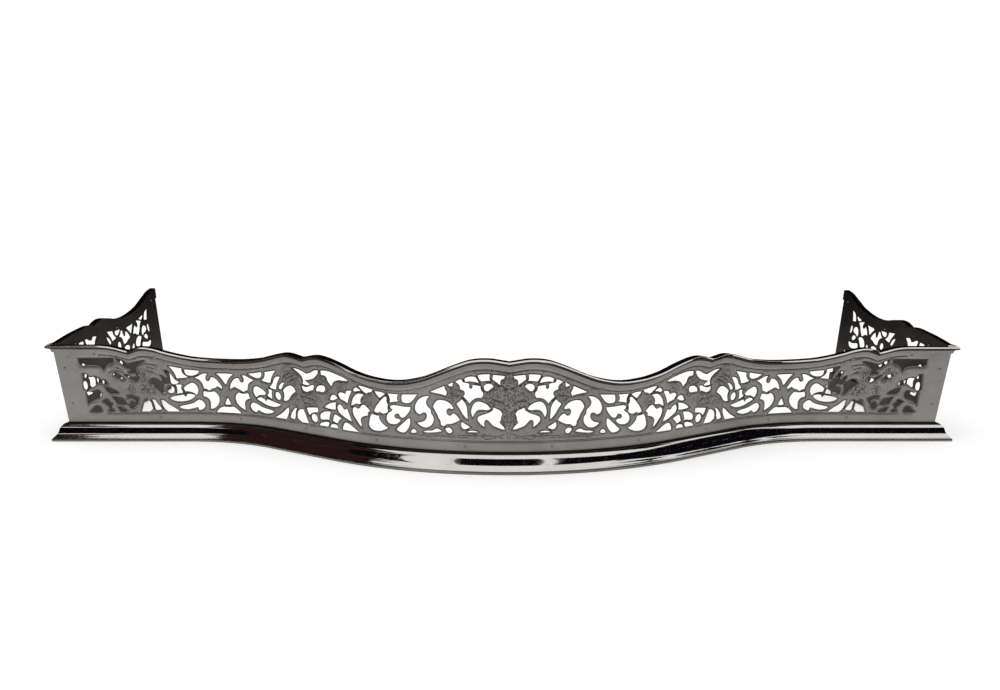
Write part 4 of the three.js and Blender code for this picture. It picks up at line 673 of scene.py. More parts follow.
def satin_steel(name, plain, tarnished, stippled, cut, roughness):
    material, tree, shader = new_material(name)
    place = add_node(tree, "ShaderNodeTexCoord").outputs["Object"]
    worked = add_node(tree, "ShaderNodeAttribute", attribute_name="worked").outputs["Fac"]
    graved = add_node(tree, "ShaderNodeAttribute", attribute_name="graved").outputs["Fac"]
    blotch = add_node(tree, "ShaderNodeTexNoise", {
        "Vector": place, "Scale": blotch_scale, "Detail": 6.0, "Roughness": 0.62})
    fade = add_node(tree, "ShaderNodeMapRange", {
        "Value": blotch.outputs["Fac"], "From Min": 0.35, "From Max": 0.68})
    tone = add_node(tree, "ShaderNodeMix", {
        0: fade.outputs["Result"], 6: linear(plain), 7: linear(tarnished)}, data_type="RGBA")
    stipple = add_node(tree, "ShaderNodeTexNoise", {
        "Vector": place, "Scale": stipple_scale, "Detail": 2.0, "Roughness": 0.7})
    grain = add_node(tree, "ShaderNodeMapRange", {
        "Value": stipple.outputs["Fac"], "From Min": 0.42, "From Max": 0.58})
    dark = add_node(tree, "ShaderNodeMath", {
        0: grain.outputs["Result"], 1: worked}, operation="MULTIPLY")
    tone = add_node(tree, "ShaderNodeMix", {
        0: dark.outputs[0], 6: tone.outputs[2], 7: linear(stippled)}, data_type="RGBA")
    # The cut colour: patina in the graver's cuts, and painted shade along the edges of the openings.
    tone = add_node(tree, "ShaderNodeMix", {
        0: graved, 6: tone.outputs[2], 7: linear(cut)}, data_type="RGBA")
    speck = add_node(tree, "ShaderNodeTexNoise", {
        "Vector": place, "Scale": pit_scale, "Detail": 3.0, "Roughness": 0.5})
    pitted = add_node(tree, "ShaderNodeMapRange", {
        "Value": speck.outputs["Fac"], "From Min": 0.7, "From Max": 0.78})
    tone = add_node(tree, "ShaderNodeMix", {
        0: pitted.outputs["Result"], 6: tone.outputs[2], 7: linear(cut)}, data_type="RGBA")
    tree.links.new(tone.outputs[2], shader.inputs["Base Color"])
    drawn = add_node(tree, "ShaderNodeMapping", {"Vector": place, "Scale": emery_scale})
    scratch = add_node(tree, "ShaderNodeTexNoise", {
        "Vector": drawn.outputs["Vector"], "Scale": 1.0, "Detail": 3.0})
    rough = add_node(tree, "ShaderNodeMapRange", {
        "Value": scratch.outputs["Fac"], "From Min": 0.3, "From Max": 0.7,
        "To Min": roughness - 0.06, "To Max": roughness + 0.08})
    tree.links.new(rough.outputs["Result"], shader.inputs["Roughness"])
    lift = add_node(tree, "ShaderNodeBump", {
        "Height": scratch.outputs["Fac"], "Strength": 0.35, "Distance": 0.00008})
    struck = add_node(tree, "ShaderNodeMath", {
        0: stipple.outputs["Fac"], 1: worked}, operation="MULTIPLY")
    lift = add_node(tree, "ShaderNodeBump", {
        "Height": struck.outputs[0], "Strength": 0.5, "Distance": 0.0004,
        "Normal": lift.outputs["Normal"]})
    dent = add_node(tree, "ShaderNodeBump", {
        "Height": blotch.outputs["Fac"], "Strength": 0.4, "Distance": 0.0006,
        "Normal": lift.outputs["Normal"]})
    tree.links.new(dent.outputs["Normal"], shader.inputs["Normal"])
    shader.inputs["Metallic"].default_value = 1.0
    return material


border_line = 39.0                # the engraved line along the foot of the ornament
second_line = border_line - 1.6   # its fellow just below it
rim_line = 14.0                   # another follows the crest, this far below the rim's top
crest_line_step = 3.0
corner_line = 616.0               # where the lines stop on either side of the middle
thin_stipple = 0.3                # between the openings, where 1 is the most
ground_fade = 5.0                 # the stippling thins out over this width round a ground


def height_at(crest, s):
    """Height of the rim's top over a place along the wall."""
    for a, b in zip(crest, crest[1:]):
        if s <= b.x:
            return a.y + (b.y - a.y) * max(0.0, (s - a.x) / (b.x - a.x))
    return crest[-1].y


def ornament_zone(crest, edges, grounds):
    """How much of the engraver's stippling is at a place: none on the plain margins, a little
    between the openings, and most of it in the round grounds, [out, height, radius]."""
    def worked(s, z):
        below = height_at(crest, s) - rim_line - z
        inside = min(z - border_line, below, s - edges[0], edges[1] - s)
        most = thin_stipple
        for out, height, radius in grounds:
            depth = radius - math.dist((abs(s), z), (out, height))
            most = max(most, min(1.0, depth / ground_fade))
        return most * min(1.0, max(0.0, inside))
    return worked


def line_at(start, stop, height, step=6.0):
    """A long engraved line, at a height that may change along the wall."""
    count = round((stop - start) / step)
    marks = [start + (stop - start) * i / count for i in range(count + 1)]
    return [Vector((s, height(s))) for s in marks]


# Lines of the graver, as [outward from the middle, height]: the urn's ribs and festoons, the
# petals, the crossed leaves along the foot, and the feathers and folds of the two beasts.
urn_lines = [
    [(2.4, 58), (2.6, 66), (2.8, 74), (4, 82)], [(6, 63), (6, 68), (6.2, 74), (9, 83)],
    [(5, 90), (12, 91.5), (20, 95)], [(1, 108), (5, 109), (8.5, 113)],
    [(66, 103), (69, 99.5), (71.5, 103.5), (73, 107)], [(69, 96.5), (69, 92), (71, 88)],
    [(60.5, 100), (64, 98.5), (68, 98), (73.5, 98)],
]
leaf_lines = [
    [(1.3, 41.5), (1.5, 47), (2.2, 53)], [(4, 49.5), (11, 46.5), (20, 43), (31, 41.3)],
    [(28, 48), (37, 46), (46, 41.8)], [(46, 48), (38, 46.5), (29, 43)],
    [(59, 41.5), (65, 45.5), (70.5, 46.5)], [(84, 41.5), (90, 44.5), (97, 45.3)],
    [(98, 41.3), (108, 43), (116, 43)], [(50, 43.4), (80, 43.4), (118, 43.4)],
    [(6, 43), (20, 46), (35, 46.3), (60, 46), (80, 45.6), (112, 45)],
]
inner_beast_lines = [
    [(331, 101), (322, 106), (313, 109)], [(327, 97.5), (318, 102.5), (309, 106)],
    [(323, 93.5), (314, 99), (305, 102.5)], [(322, 70), (323, 65), (323, 60)],
    [(300, 79), (294, 77), (288, 78)], [(289, 75), (282, 76.5), (276, 74)],
    [(296, 70), (288, 68), (281, 69)], [(268, 81), (264, 76), (262, 69)],
    [(254, 84), (250.5, 89), (248, 94)], [(262, 107), (257, 103), (251, 100)],
    [(272, 102), (265, 100), (258, 99)],
]
outer_beast_lines = [
    [(560, 84), (561, 90), (559, 98), (560, 106)], [(556, 82), (557.5, 91), (555.5, 99), (557, 107)],
    [(552.5, 84), (553.5, 92), (552, 99), (553, 107)], [(549, 108), (543, 106), (537, 103.5)],
    [(547, 102), (541, 100), (536, 96.5), (533, 92.5)], [(552, 112), (543, 111), (533, 109.5)],
    [(575, 79), (576, 73), (573, 68)], [(556, 79), (552, 76), (548, 71), (546, 65)],
    [(550, 82), (545, 77), (541, 71), (538, 65)], [(560, 66), (558, 72), (554, 76)],
    [(592, 106), (586, 104), (581, 100)], [(604, 98), (596, 101), (588, 100.5), (580, 98)],
    [(634, 51), (628, 53.5), (622, 55.5)], [(633, 74), (626, 78), (618, 78)],
]


def engraved(lines, openings, gap=1.3):
    """Both halves of drawn lines, smooth, without the spots that come too near an opening."""
    tree = finder([spot for loop in openings for spot in loop])
    result = []
    for line in lines:
        for side in (1, -1):
            drawn = [(side * out, height) for out, height in line]
            path = smooth(drawn, outline_step, closed=False)
            free = [spot for spot in path if tree.find((spot[0], spot[1], 0))[2] > gap]
            if len(free) > 3:
                result.append([Vector(spot[:2]) for spot in free])
    return result


front_strokes = [
    *engraved([*urn_lines, *leaf_lines, *inner_beast_lines, *outer_beast_lines], front_openings),
    line_at(-corner_line, corner_line, lambda s: second_line),
    line_at(-corner_line, corner_line, lambda s: border_line),
    line_at(
        -corner_line, corner_line, lambda s: height_at(front_top, s) - rim_line, crest_line_step,
    ),
    *beside(front_openings),
]
front_steel = satin_steel("satin_steel_sheet", "#908E8B", "#817E7A", "#56514C", "#36312C", 0.34)
# Behind, the sheet has never been polished: brown-black from the forge and the smoke.
# The same dark steel is also painted shade in the rim's recess and on the base's shoulder under the
# plate.
dull_and_shading_steel = satin_steel("unpolished_steel_sheet", "#4E4842", "#3B3530", "#4E4842", "#2A2521", 0.5)
# Painted shade: a darker copy of the satin steel for the sawn and filed edges of the sheet.
sawn_edge_shaded_steel = satin_steel("sawn_steel_edge", "#5A5651", "#4A4641", "#5A5651", "#2A2521", 0.4)
front_grounds = [
    (0, 100, 34), (0, 66, 16), (69, 99, 14), (262, 104, 16), (252, 88, 12), (285, 74, 20),
    (312, 74, 16), (316, 102, 20), (556, 94, 14), (548, 74, 16), (572, 74, 12), (592, 104, 8),
    (226, 98, 12), (186, 82, 12), (412, 84, 10), (456, 84, 10),
]
front_zone = ornament_zone(front_top, (-corner_line, corner_line), front_grounds)
front_sheet = pierced_sheet(
    "pierced_front", front, front_top, front_openings, front_strokes, front_zone,
)
dress(front_sheet, (front_steel, dull_and_shading_steel, sawn_edge_shaded_steel), "pierced_steel", "front_plate")


# ------------------------------------------------------------------ the pierced ends
# The same sheet, cut with smaller scrolls. Each end runs straight back from its mitred corner and
# rises to a pointed ear where it meets the chimneypiece. The inside has never been polished.

# Each opening as [back from the front corner, height]. Both ends are alike.
end_crest = [
    (-8, 138.8, K), (0, 139.8), (15, 142.6), (45, 147.5), (75, 151.2), (92, 152.8), (110, 151.8, K),
    (121, 156), (131, 158.5), (142, 159.3), (161, 157.3), (181, 154.3), (202, 152.8), (222, 153.8),
    (242, 156.8), (262, 161.2), (282, 166.8), (301, 174.5), (317, 180.8), (332, 186.8),
    (354, 191.8, K),
]
end_scrolls = [
    [(58, 127, K), (64, 132), (70, 134.3), (75, 133, K), (77.5, 127), (76, 119), (70, 116),
        (62, 116), (57, 120)],
    [(80.5, 133.5, K), (87, 133.7), (92, 131.5), (98, 129.5), (100.5, 129.7, K), (105.5, 134),
        (112, 137), (119, 138.8), (124.5, 138, K), (119, 132), (113.5, 127), (110.5, 121),
        (106, 117), (98, 115.5), (90, 118), (84, 124)],
    [(150.3, 127.5, K), (157, 126), (162.5, 122.5), (166, 116.5, K), (161, 114.5), (156, 118),
        (152.5, 122.5)],
    [(155, 136, K), (166, 135.3), (176.7, 135.3, K), (177, 130), (180, 126), (186, 123, K),
        (179, 120.3), (168, 118.8, K), (166.5, 123.5), (162, 128.5), (157.5, 132.8)],
    [(183, 134, K), (193, 134.3), (203.5, 134.6, K), (198, 129), (190.5, 126), (184, 127),
        (181, 130.5)],
    [(194.5, 123, K), (199.5, 127), (203.5, 131.5), (211.5, 131.3, K), (212.3, 126), (215.3, 121),
        (218, 124.5), (219.3, 128.7, K), (226, 127.3), (232, 123), (237.5, 116.5, K), (229, 114),
        (222, 110.5), (214, 108.7), (208, 110), (206.5, 115), (203.5, 120)],
    [(185.5, 109, K), (188.5, 113.5), (194, 114.8), (198.5, 112), (200, 106, K), (193, 103.5)],
    [(209, 103, K), (218, 105.3), (228, 103.8), (231, 100, K), (222, 94), (212, 96)],
    [(225.5, 133.5, K), (236, 137.3), (247, 139.2), (255.5, 139.8, K), (250, 132.5),
        (243.5, 122, K), (238.5, 124.3), (232.5, 129)],
    [(248, 117.8, K), (250, 124), (254.5, 131), (259, 134), (265.8, 130, K), (270.5, 134),
        (265.5, 141.3, K), (277, 140.8), (289, 138, K), (282.5, 132), (279, 125), (272, 116.7, K),
        (264, 118), (257, 120.8)],
    [(275.5, 145.5, K), (285, 149.5), (294, 150.8), (299, 146.5, K), (291.5, 141.3), (283, 142.5)],
    [(321.5, 159.5, K), (312.5, 158.5), (305.5, 152), (301.5, 145), (300, 139.5, K), (315, 139, K),
        (317, 147)],
    [(283, 118), (285, 124.5), (290, 129.3), (298, 129.7), (304, 127), (307, 122, K), (301, 118.3),
        (295, 117), (290, 113.5, K), (285.5, 114.3)],
    [(309.5, 129.8, K), (316, 130), (319, 123), (319.5, 117, K), (312.5, 118), (309, 123)],
    [(290.5, 111, K), (297, 114.5), (304, 113), (308.3, 107.5), (303, 105), (296, 107)],
    [(253, 100.5, K), (256, 108), (262.5, 112.8), (272, 114.5), (282.5, 111, K), (277, 105),
        (272, 97.5, K), (262, 97.5)],
    [(278, 96, K), (282, 101.5), (292, 100.7), (302, 99.5), (311, 100.8), (319.5, 100.3, K),
        (315, 93.5), (305, 90.5), (290, 91.5), (282, 92.5)],
    [(236, 96, K), (243, 104), (249, 103), (247, 93), (240, 88)],
]
low_scrolls = [
    [(59.5, 79.5, K), (64, 85), (69, 83), (68, 78.5, K), (63, 77)],
    [(70, 76.5, K), (80, 75.5), (89, 73.5), (92.5, 69), (91, 61, K), (84, 59.5), (77, 60.5),
        (72, 65, K), (73.5, 71)],
    [(53.5, 72, K), (60, 73), (66, 69), (66.5, 62), (60, 59.5), (54, 62)],
    [(59, 56.5, K), (66, 57.5), (74, 55.5), (79, 51, K), (70, 50), (62, 51)],
    [(95, 69.5), (99.5, 70.5), (102.5, 67), (101, 63, K), (96.5, 63.5)],
    [(110.5, 62.5, K), (115, 64.5), (119, 61.5), (117, 57.5, K), (112, 58.5)],
    [(56.5, 95.5, K), (60, 99.5), (66, 98.5), (70, 94.5, K), (63, 92.5)],
    [(159.5, 86), (164, 90.5), (170, 88.5), (172, 83.5, K), (165, 82)],
    [(176.5, 80), (181, 84), (187, 82), (190, 77, K), (182, 75)],
    [(139.5, 66, K), (145, 70.5), (152, 70.5), (156, 66, K), (148, 62.5)],
]
foot_scrolls = [
    [(96, 39, K), (100, 46), (108, 50), (114, 45), (118, 39, K)],
    [(160, 39, K), (166, 52), (176, 57), (184, 50), (188, 39, K)],
    [(196, 39, K), (194, 48), (200, 55), (207, 50), (211, 39, K)],
    [(240, 39, K), (246, 50), (258, 56), (270, 50), (276, 39, K)],
    [(284, 39, K), (285, 50), (294, 56), (306, 52), (318, 44), (322, 39, K)],
    [(290, 62, K), (300, 72), (312, 80), (322, 84, K), (326, 72), (322, 60), (306, 56)],
]
read_back = 0.975                 # mean of the two ends over the nearer one

end_top = smooth(end_crest, crest_step, closed=False)
drawn_back = [[(p[0] * read_back, *p[1:]) for p in outline] for outline in end_scrolls]
end_openings = [
    smooth(outline, outline_step) for outline in [*drawn_back, *low_scrolls, *foot_scrolls]
]
end_edges = (16.0, 338.0)
end_strokes = [
    line_at(*end_edges, lambda s: second_line),
    line_at(*end_edges, lambda s: border_line),
    line_at(*end_edges, lambda s: height_at(end_top, s) - rim_line, crest_line_step),
    *beside(end_openings),
]
end_grounds = [(130, 110, 24), (228, 118, 16)]
end_zone = ornament_zone(end_top, end_edges, end_grounds)
for wall in (left_end, right_end):
    sheet = pierced_sheet(
        f"pierced_{wall.name}_end", wall, end_top, end_openings, end_strokes, end_zone,
    )
    dress(sheet, (front_steel, dull_and_shading_steel, sawn_edge_shaded_steel), "end_steel", f"{wall.name}_end_plate")


# ------------------------------------------------------------------ the base moulding
# Steel rolled to a bead, a quirk, a hollow sweep and a round shoulder, mitred and brazed at the
# corners and polished bright. It turns in at the foot, and a flange stands behind the plates.

moulding_wall = 1.5
moulding_foot = 13.0
flange_top = 36.0
slack = 0.3                       # between the sheet and the iron behind it
shoulder_top = 24.1               # the moulding ends just under the plate's foot
end_sections = 8
least_step = 0.5                  # between two sections of a swept piece
base_profile = [
    (17.1, 0, K), (17.6, 1.1), (17.65, 2.4), (17.3, 3.5), (16.5, 4.1, K), (16.1, 4.7, K),
    (15.3, 5.5), (13.9, 7.2), (12.3, 9), (11, 11.3), (10.2, 13.6), (9.7, 15.8), (9, 17.8),
    (7.8, 19.8), (6.2, 21.8), (4.4, 23.3), (2.6, shoulder_top, K),
]


def stations(wall, crest=None, step=6.0):
    """Places along a wall where a swept piece has a section: close on the curves of the plan."""
    if wall.side == 0:
        count = round(2 * corner_arc / step)
        marks = [-corner_arc + 2 * corner_arc * i / count for i in range(count + 1)]
    else:
        marks = [wall.low, *(end_depth * i / end_sections for i in range(1, end_sections + 1))]
    if crest:
        marks = sorted([*marks, *(s for s, _ in crest if wall.low < s < wall.high)])
        marks = [m for i, m in enumerate(marks) if i == 0 or m - marks[i - 1] > least_step]
        marks[-1] = wall.high
    return marks


def swept(name, wall, marks, section, finish_of=None):
    """A closed section of [out, height] carried along a wall, mitred at the corners. finish_of
    gives the material of the strip after each point of the section."""
    points = []
    faces = []
    finishes = []
    size = len(section(marks[0]))
    for s in marks:
        for d, z in section(s):
            at = s
            if s == marks[0]:
                at = wall.edge(0, d)
            if s == marks[-1]:
                at = wall.edge(1, d)
            points.append(wall.point(at, d, z))
    for k in range(len(marks) - 1):
        for i in range(size):
            j = (i + 1) % size
            a, b = k * size, (k + 1) * size
            faces.append([a + i, a + j, b + j, b + i])
            finishes.append(finish_of[i] if finish_of else 0)
    faces.append(list(range(size)))
    faces.append(list(range(len(points) - size, len(points))))
    return closed_piece(name, points, faces, [*finishes, 0, 0])


def thickened(line, width):
    """An open line given a thickness to its left, as one closed section."""
    inner = []
    for i, spot in enumerate(line):
        before = (spot - line[i - 1]).normalized() if i else None
        after = (line[i + 1] - spot).normalized() if i < len(line) - 1 else None
        before, after = before or after, after or before
        left = Vector((-before.y, before.x)) + Vector((-after.y, after.x))
        inner.append(spot + left * width / max(1 + before.dot(after), 0.4))
    return [*line, *reversed(inner)]


profile = smooth(base_profile, 0.8, closed=False)
behind_plate = plate_thickness + slack
moulded = [
    Vector((profile[0].x - moulding_foot, 0)),
    *profile,
    Vector((leaning(shoulder_top) - behind_plate, shoulder_top)),
    Vector((leaning(flange_top) - behind_plate, flange_top)),
]
moulded = [tuple(p) for p in thickened(moulded, moulding_wall)]


# Steel burnished to a mirror, the bright part of a fender: it shows the room, a little broken by
# uneven rubbing, under thin clouds of tarnish.
tarnish_scale = 30.0              # in a metre: clouds of tarnish about 30 mm wide
rub_scale = 160.0                 # uneven rubbing, a patch every 6 mm


def bright_steel(name, light, dark, roughness):
    material, tree, shader = new_material(name)
    place = add_node(tree, "ShaderNodeTexCoord").outputs["Object"]
    cloud = add_node(tree, "ShaderNodeTexNoise", {
        "Vector": place, "Scale": tarnish_scale, "Detail": 5.0, "Roughness": 0.6})
    tone = add_node(tree, "ShaderNodeMix", {
        0: cloud.outputs["Fac"], 6: linear(dark), 7: linear(light)}, data_type="RGBA")
    tree.links.new(tone.outputs[2], shader.inputs["Base Color"])
    rub = add_node(tree, "ShaderNodeTexNoise", {
        "Vector": place, "Scale": rub_scale, "Detail": 4.0, "Roughness": 0.6})
    rough = add_node(tree, "ShaderNodeMapRange", {
        "Value": rub.outputs["Fac"], "From Min": 0.35, "From Max": 0.7,
        "To Min": roughness * 0.6, "To Max": roughness * 1.9})
    tree.links.new(rough.outputs["Result"], shader.inputs["Roughness"])
    lift = add_node(tree, "ShaderNodeBump", {
        "Height": rub.outputs["Fac"], "Strength": 0.15, "Distance": 0.00015})
    tree.links.new(lift.outputs["Normal"], shader.inputs["Normal"])
    shader.inputs["Metallic"].default_value = 1.0
    return material


polished = bright_steel("polished_steel", "#E2E0DC", "#C6C3BE", 0.08)
# A darker copy of the polished steel, as painted shade on the base's bead and on the rim below its
# recess.
shaded_polished = bright_steel("rubbed_steel", "#8C8A86", "#6F6C68", 0.22)
shadow_line = 22.8                # painted shade: above this the shoulder of the base, where the plate stands in it, takes the dark steel
underside = 0.1                   # what stands on the hearth is left dull
bead_top = 3.6                    # the bead below this takes the darker copy of the polished steel, as painted shade
base_finish = [
    2 if k > len(profile) or z < underside or z > shadow_line else (1 if z < bead_top else 0)
    for k, (_, z) in enumerate(moulded)
]
for wall in (front, left_end, right_end):
    base = swept(f"{wall.name}_base", wall, stations(wall), lambda s: moulded, base_finish)
    dress(base, (polished, shaded_polished, dull_and_shading_steel), "polished_steel", f"{wall.name}_moulding")


# ------------------------------------------------------------------ the rim
# A moulded steel rim, forged with a bead along its front and a flat flange behind the plate. It
# follows the cut top of the sheet and is riveted through it.

rim_flange = 17.5
rim_flange_thickness = 2.0
rim_back = behind_plate + rim_flange_thickness
rim_seat = 1.5                    # the rim's underside over the plate, below its top
rim_front = 0.05                  # the rim just clears the face of the plate
rim_profile = [
    (rim_front, -10.5, K), (1.7, -10.5, K), (1.95, -8.6), (2.3, -7.1, K), (2.5, -6.3, K), (3.6, -5.3),
    (5.2, -4.9), (6.6, -4.3), (7.3, -3.4), (7.2, -2.6), (6.55, -1.6), (5.9, -0.6), (4.9, -0.1),
    (3, -0.05, K),
]
rim_face = [tuple(p) for p in smooth(rim_profile, 0.8, closed=False)]
recess_top = -3.3                 # painted shade: the recess under the bead takes the dark steel
fillet_top = -6.5                 # below it the rim takes the darker copy of the polished steel, as painted shade
rim_section = [
    *rim_face, (-rim_back, 0), (-rim_back, -rim_flange), (-behind_plate, -rim_flange),
    (-behind_plate, -rim_seat), (rim_front, -rim_seat),
]
unpolished = len(rim_section) - len(rim_face)
rim_finish = [
    *(0 if z > recess_top else (2 if z > fillet_top else 1) for _, z in rim_face),
    *[2] * unpolished,
]

for wall, crest in ((front, front_top), (left_end, end_top), (right_end, end_top)):
    def over_crest(s, crest=crest):
        z = height_at(crest, s)
        return [(leaning(z + below) + off, z + below) for off, below in rim_section]
    rim = swept(f"{wall.name}_top_rim", wall, stations(wall, crest), over_crest, rim_finish)
    dress(rim, (polished, shaded_polished, dull_and_shading_steel), "polished_steel", f"{wall.name}_rim")


# ------------------------------------------------------------------ the iron behind the base
# Flat wrought-iron bars stiffen the foot behind the plates, and an angle iron stands in each front
# corner. Forged black and never polished, with a brown bloom.

forge_scale = 90.0                # in a metre: flakes of forge scale about 11 mm wide


def wrought_iron(name, light, dark):
    material, tree, shader = new_material(name)
    place = add_node(tree, "ShaderNodeTexCoord").outputs["Object"]
    scale = add_node(tree, "ShaderNodeTexNoise", {
        "Vector": place, "Scale": forge_scale, "Detail": 8.0, "Roughness": 0.65})
    tone = add_node(tree, "ShaderNodeMix", {
        0: scale.outputs["Fac"], 6: linear(dark), 7: linear(light)}, data_type="RGBA")
    tree.links.new(tone.outputs[2], shader.inputs["Base Color"])
    lift = add_node(tree, "ShaderNodeBump", {
        "Height": scale.outputs["Fac"], "Strength": 0.6, "Distance": 0.0005})
    tree.links.new(lift.outputs["Normal"], shader.inputs["Normal"])
    shader.inputs["Metallic"].default_value = 0.6
    shader.inputs["Roughness"].default_value = 0.62
    return material


iron = wrought_iron("wrought_iron", "#57504A", "#39332E")
bar_bottom = 2.0
bar_thickness = 3.0
bar_front = behind_plate + moulding_wall + slack
bar_back = bar_front + bar_thickness
bar_round = 0.6                   # hammered corners
bar_ring = [
    (bar_back, bar_bottom, 1, 0), (bar_back, bar_bottom, 0, 1), (bar_back, flange_top, 0, -1),
    (bar_back, flange_top, 1, 0), (bar_front, flange_top, -1, 0), (bar_front, flange_top, 0, -1),
    (bar_front, bar_bottom, 0, 1), (bar_front, bar_bottom, -1, 0),
]
bar_section = [
    (leaning(z + bar_round * up) - back + bar_round * out, z + bar_round * up)
    for back, z, out, up in bar_ring
]
for wall in (front, left_end, right_end):
    bar = swept(f"{wall.name}_bar", wall, stations(wall), lambda s: bar_section)
    dress(bar, (iron,), "back_iron", f"{wall.name}_base_bar")


filed_edge = 0.0003               # metres
corner_edge = math.radians(40)    # only edges sharper than this are filed


def filed_copy(name, node):
    """A CAD node's mesh as a piece of its own, with its edges filed."""
    piece = bpy.data.objects.new(name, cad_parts[node].data.copy())
    work = bmesh.new()
    work.from_mesh(piece.data)
    bmesh.ops.remove_doubles(work, verts=work.verts, dist=1e-5)
    work.to_mesh(piece.data)
    work.free()
    pick(piece)
    edge = piece.modifiers.new("filed", "BEVEL")
    edge.width = filed_edge
    edge.segments = 2
    edge.angle_limit = corner_edge
    bpy.ops.object.modifier_apply(modifier="filed")
    bpy.ops.object.shade_smooth_by_angle(angle=corner_edge)
    return piece


for side in ("left", "right"):
    angle = filed_copy(f"{side}_angle_iron", f"{side}_corner_angle")
    dress(angle, (iron,), "back_iron", f"{side}_corner_angle")


# ------------------------------------------------------------------ the rivets
# Soft steel rivets through the sheet and what stands behind it. In front they are filed almost
# flush and show as small discs; behind, their heads are hammered round.

rivet_radius = 2.2
shank_radius = 1.35
front_rim_rivets = [117, 222, 330, 429, 536, 620]
front_base_rivets = [55, 175, 295, 415, 535]
end_rim_rivets = [43, 180, 330]
end_base_rivets = [45, 175, 315]
rivet_below_top = 14.5
rivet_above_foot = 7.1
rivet_turns = 16
angle_thickness = 2.0
rim_stack = rim_back              # what a rivet goes through, from the sheet's face
base_stack = bar_back
angle_stack = behind_plate + angle_thickness
angle_bottom = flange_top + 2
angle_top = front_top[-1].y - rim_flange - 3
angle_rivet_inset = 14            # from either end of an angle iron
angle_rivet_back = 9              # from its corner

rivet_steel = satin_steel("filed_rivet_steel", "#85827E", "#75716C", "#75716C", "#3A322B", 0.34)


def rivet_mesh(stack):
    """A round rivet along Z, its flush face at the top, turned from its half profile."""
    heads = [
        (0, 0.35), (0.9, 0.33), (1.6, 0.24), (2.0, 0.1), (rivet_radius, 0.02), (shank_radius, 0.0),
        (shank_radius, -stack), (rivet_radius, -stack - 0.05), (2.1, -stack - 0.5),
        (1.7, -stack - 0.9), (1.0, -stack - 1.25), (0, -stack - 1.4),
    ]
    turns = rivet_turns
    points = [(0, 0, heads[0][1])]
    for r, z in heads[1:-1]:
        for k in range(turns):
            turn = 2 * math.pi * k / turns
            points.append((r * math.cos(turn), r * math.sin(turn), z))
    points.append((0, 0, heads[-1][1]))
    faces = []
    last = len(points) - 1
    for k in range(turns):
        n = (k + 1) % turns
        faces.append([0, 1 + k, 1 + n])
        faces.append([last, last - turns + n, last - turns + k])
        for row in range(len(heads) - 3):
            a, b = 1 + row * turns, 1 + (row + 1) * turns
            faces.append([a + k, b + k, b + n, a + n])
    return points, faces


def set_rivet(wall, node, s, z, stack):
    """A rivet square to the sheet at a place on a wall, in the stead of its CAD node."""
    centre = wall.point(s, leaning(z), z)
    along = wall.point(s + 0.5, leaning(z), z) - centre
    up = wall.point(s, leaning(z + 1), z + 1) - centre
    out = along.cross(up).normalized()
    if out.dot(wall.point(s, leaning(z) + 1, z) - centre) < 0:
        out.negate()
    turn = Vector((0, 0, 1)).rotation_difference(out)
    points, faces = rivet_mesh(stack)
    placed = [centre + turn @ (Vector(p) / 1000) for p in points]
    rivet = closed_piece(f"{node}_head", placed, faces)
    dress(rivet, (rivet_steel,), "rivet_steel", node)


def both_halves(places):
    """Places on both halves of the front, from left to right."""
    return [-a * span for a in reversed(places)] + [a * span for a in places]


for wall, crest in ((front, front_top), (left_end, end_top), (right_end, end_top)):
    if wall.side == 0:
        rims, bases = both_halves(front_rim_rivets), both_halves(front_base_rivets)
    else:
        rims, bases = end_rim_rivets, end_base_rivets
    for i, s in enumerate(rims, 1):
        z = height_at(crest, s) - rivet_below_top
        set_rivet(wall, f"{wall.name}_rim_rivet_{i}", s, z, rim_stack)
    for i, s in enumerate(bases, 1):
        z = base_height + rivet_above_foot
        set_rivet(wall, f"{wall.name}_base_rivet_{i}", s, z, base_stack)
for wall in (left_end, right_end):
    for i, z in enumerate((angle_bottom + angle_rivet_inset, angle_top - angle_rivet_inset), 1):
        inside = leaning(z) - behind_plate - angle_rivet_back
        s = wall.side * (corner_arc + inside)
        set_rivet(front, f"{wall.name}_angle_front_rivet_{i}", s, z, angle_stack)
        set_rivet(wall, f"{wall.name}_angle_end_rivet_{i}", -inside, z, angle_stack)


# ------------------------------------------------------------------ the studio and the camera
# White paper under the fender and white all round it, soft light from above, and dark flags at
# all sides and overhead that give the polished mouldings their black lines.

floor_size = 60.0
floor_drop = 0.0002               # the fender stands clear of the paper by this
paper_glow = 0.42                 # brings the lit paper up to white for the camera
plain_level = 0.75                # strength of the world's light on the fender; white is 1


def sees_backdrop(tree):
    """1 for rays from the camera and for those off gloss or through glass, 0 for others."""
    rays = add_node(tree, "ShaderNodeLightPath")
    seen = add_node(tree, "ShaderNodeMath", {
        0: rays.outputs["Is Camera Ray"], 1: rays.outputs["Is Glossy Ray"]}, operation="MAXIMUM")
    seen = add_node(tree, "ShaderNodeMath", {
        0: seen.outputs[0], 1: rays.outputs["Is Transmission Ray"]}, operation="MAXIMUM")
    return seen.outputs[0]


bpy.ops.object.select_all(action="DESELECT")
bpy.ops.mesh.primitive_plane_add(size=floor_size, location=(0, 0, -floor_drop))
floor = bpy.context.object
floor.name = "studio_floor"
paper, tree, shader = new_material("white_paper")
shader.inputs["Base Color"].default_value = (0.8, 0.8, 0.8, 1)
shader.inputs["Roughness"].default_value = 0.9
shader.inputs["Specular IOR Level"].default_value = 0.0
glow = add_node(tree, "ShaderNodeMath", {
    0: sees_backdrop(tree), 1: paper_glow}, operation="MULTIPLY")
shader.inputs["Emission Color"].default_value = (1, 1, 1, 1)
tree.links.new(glow.outputs[0], shader.inputs["Emission Strength"])
floor.data.materials.append(paper)

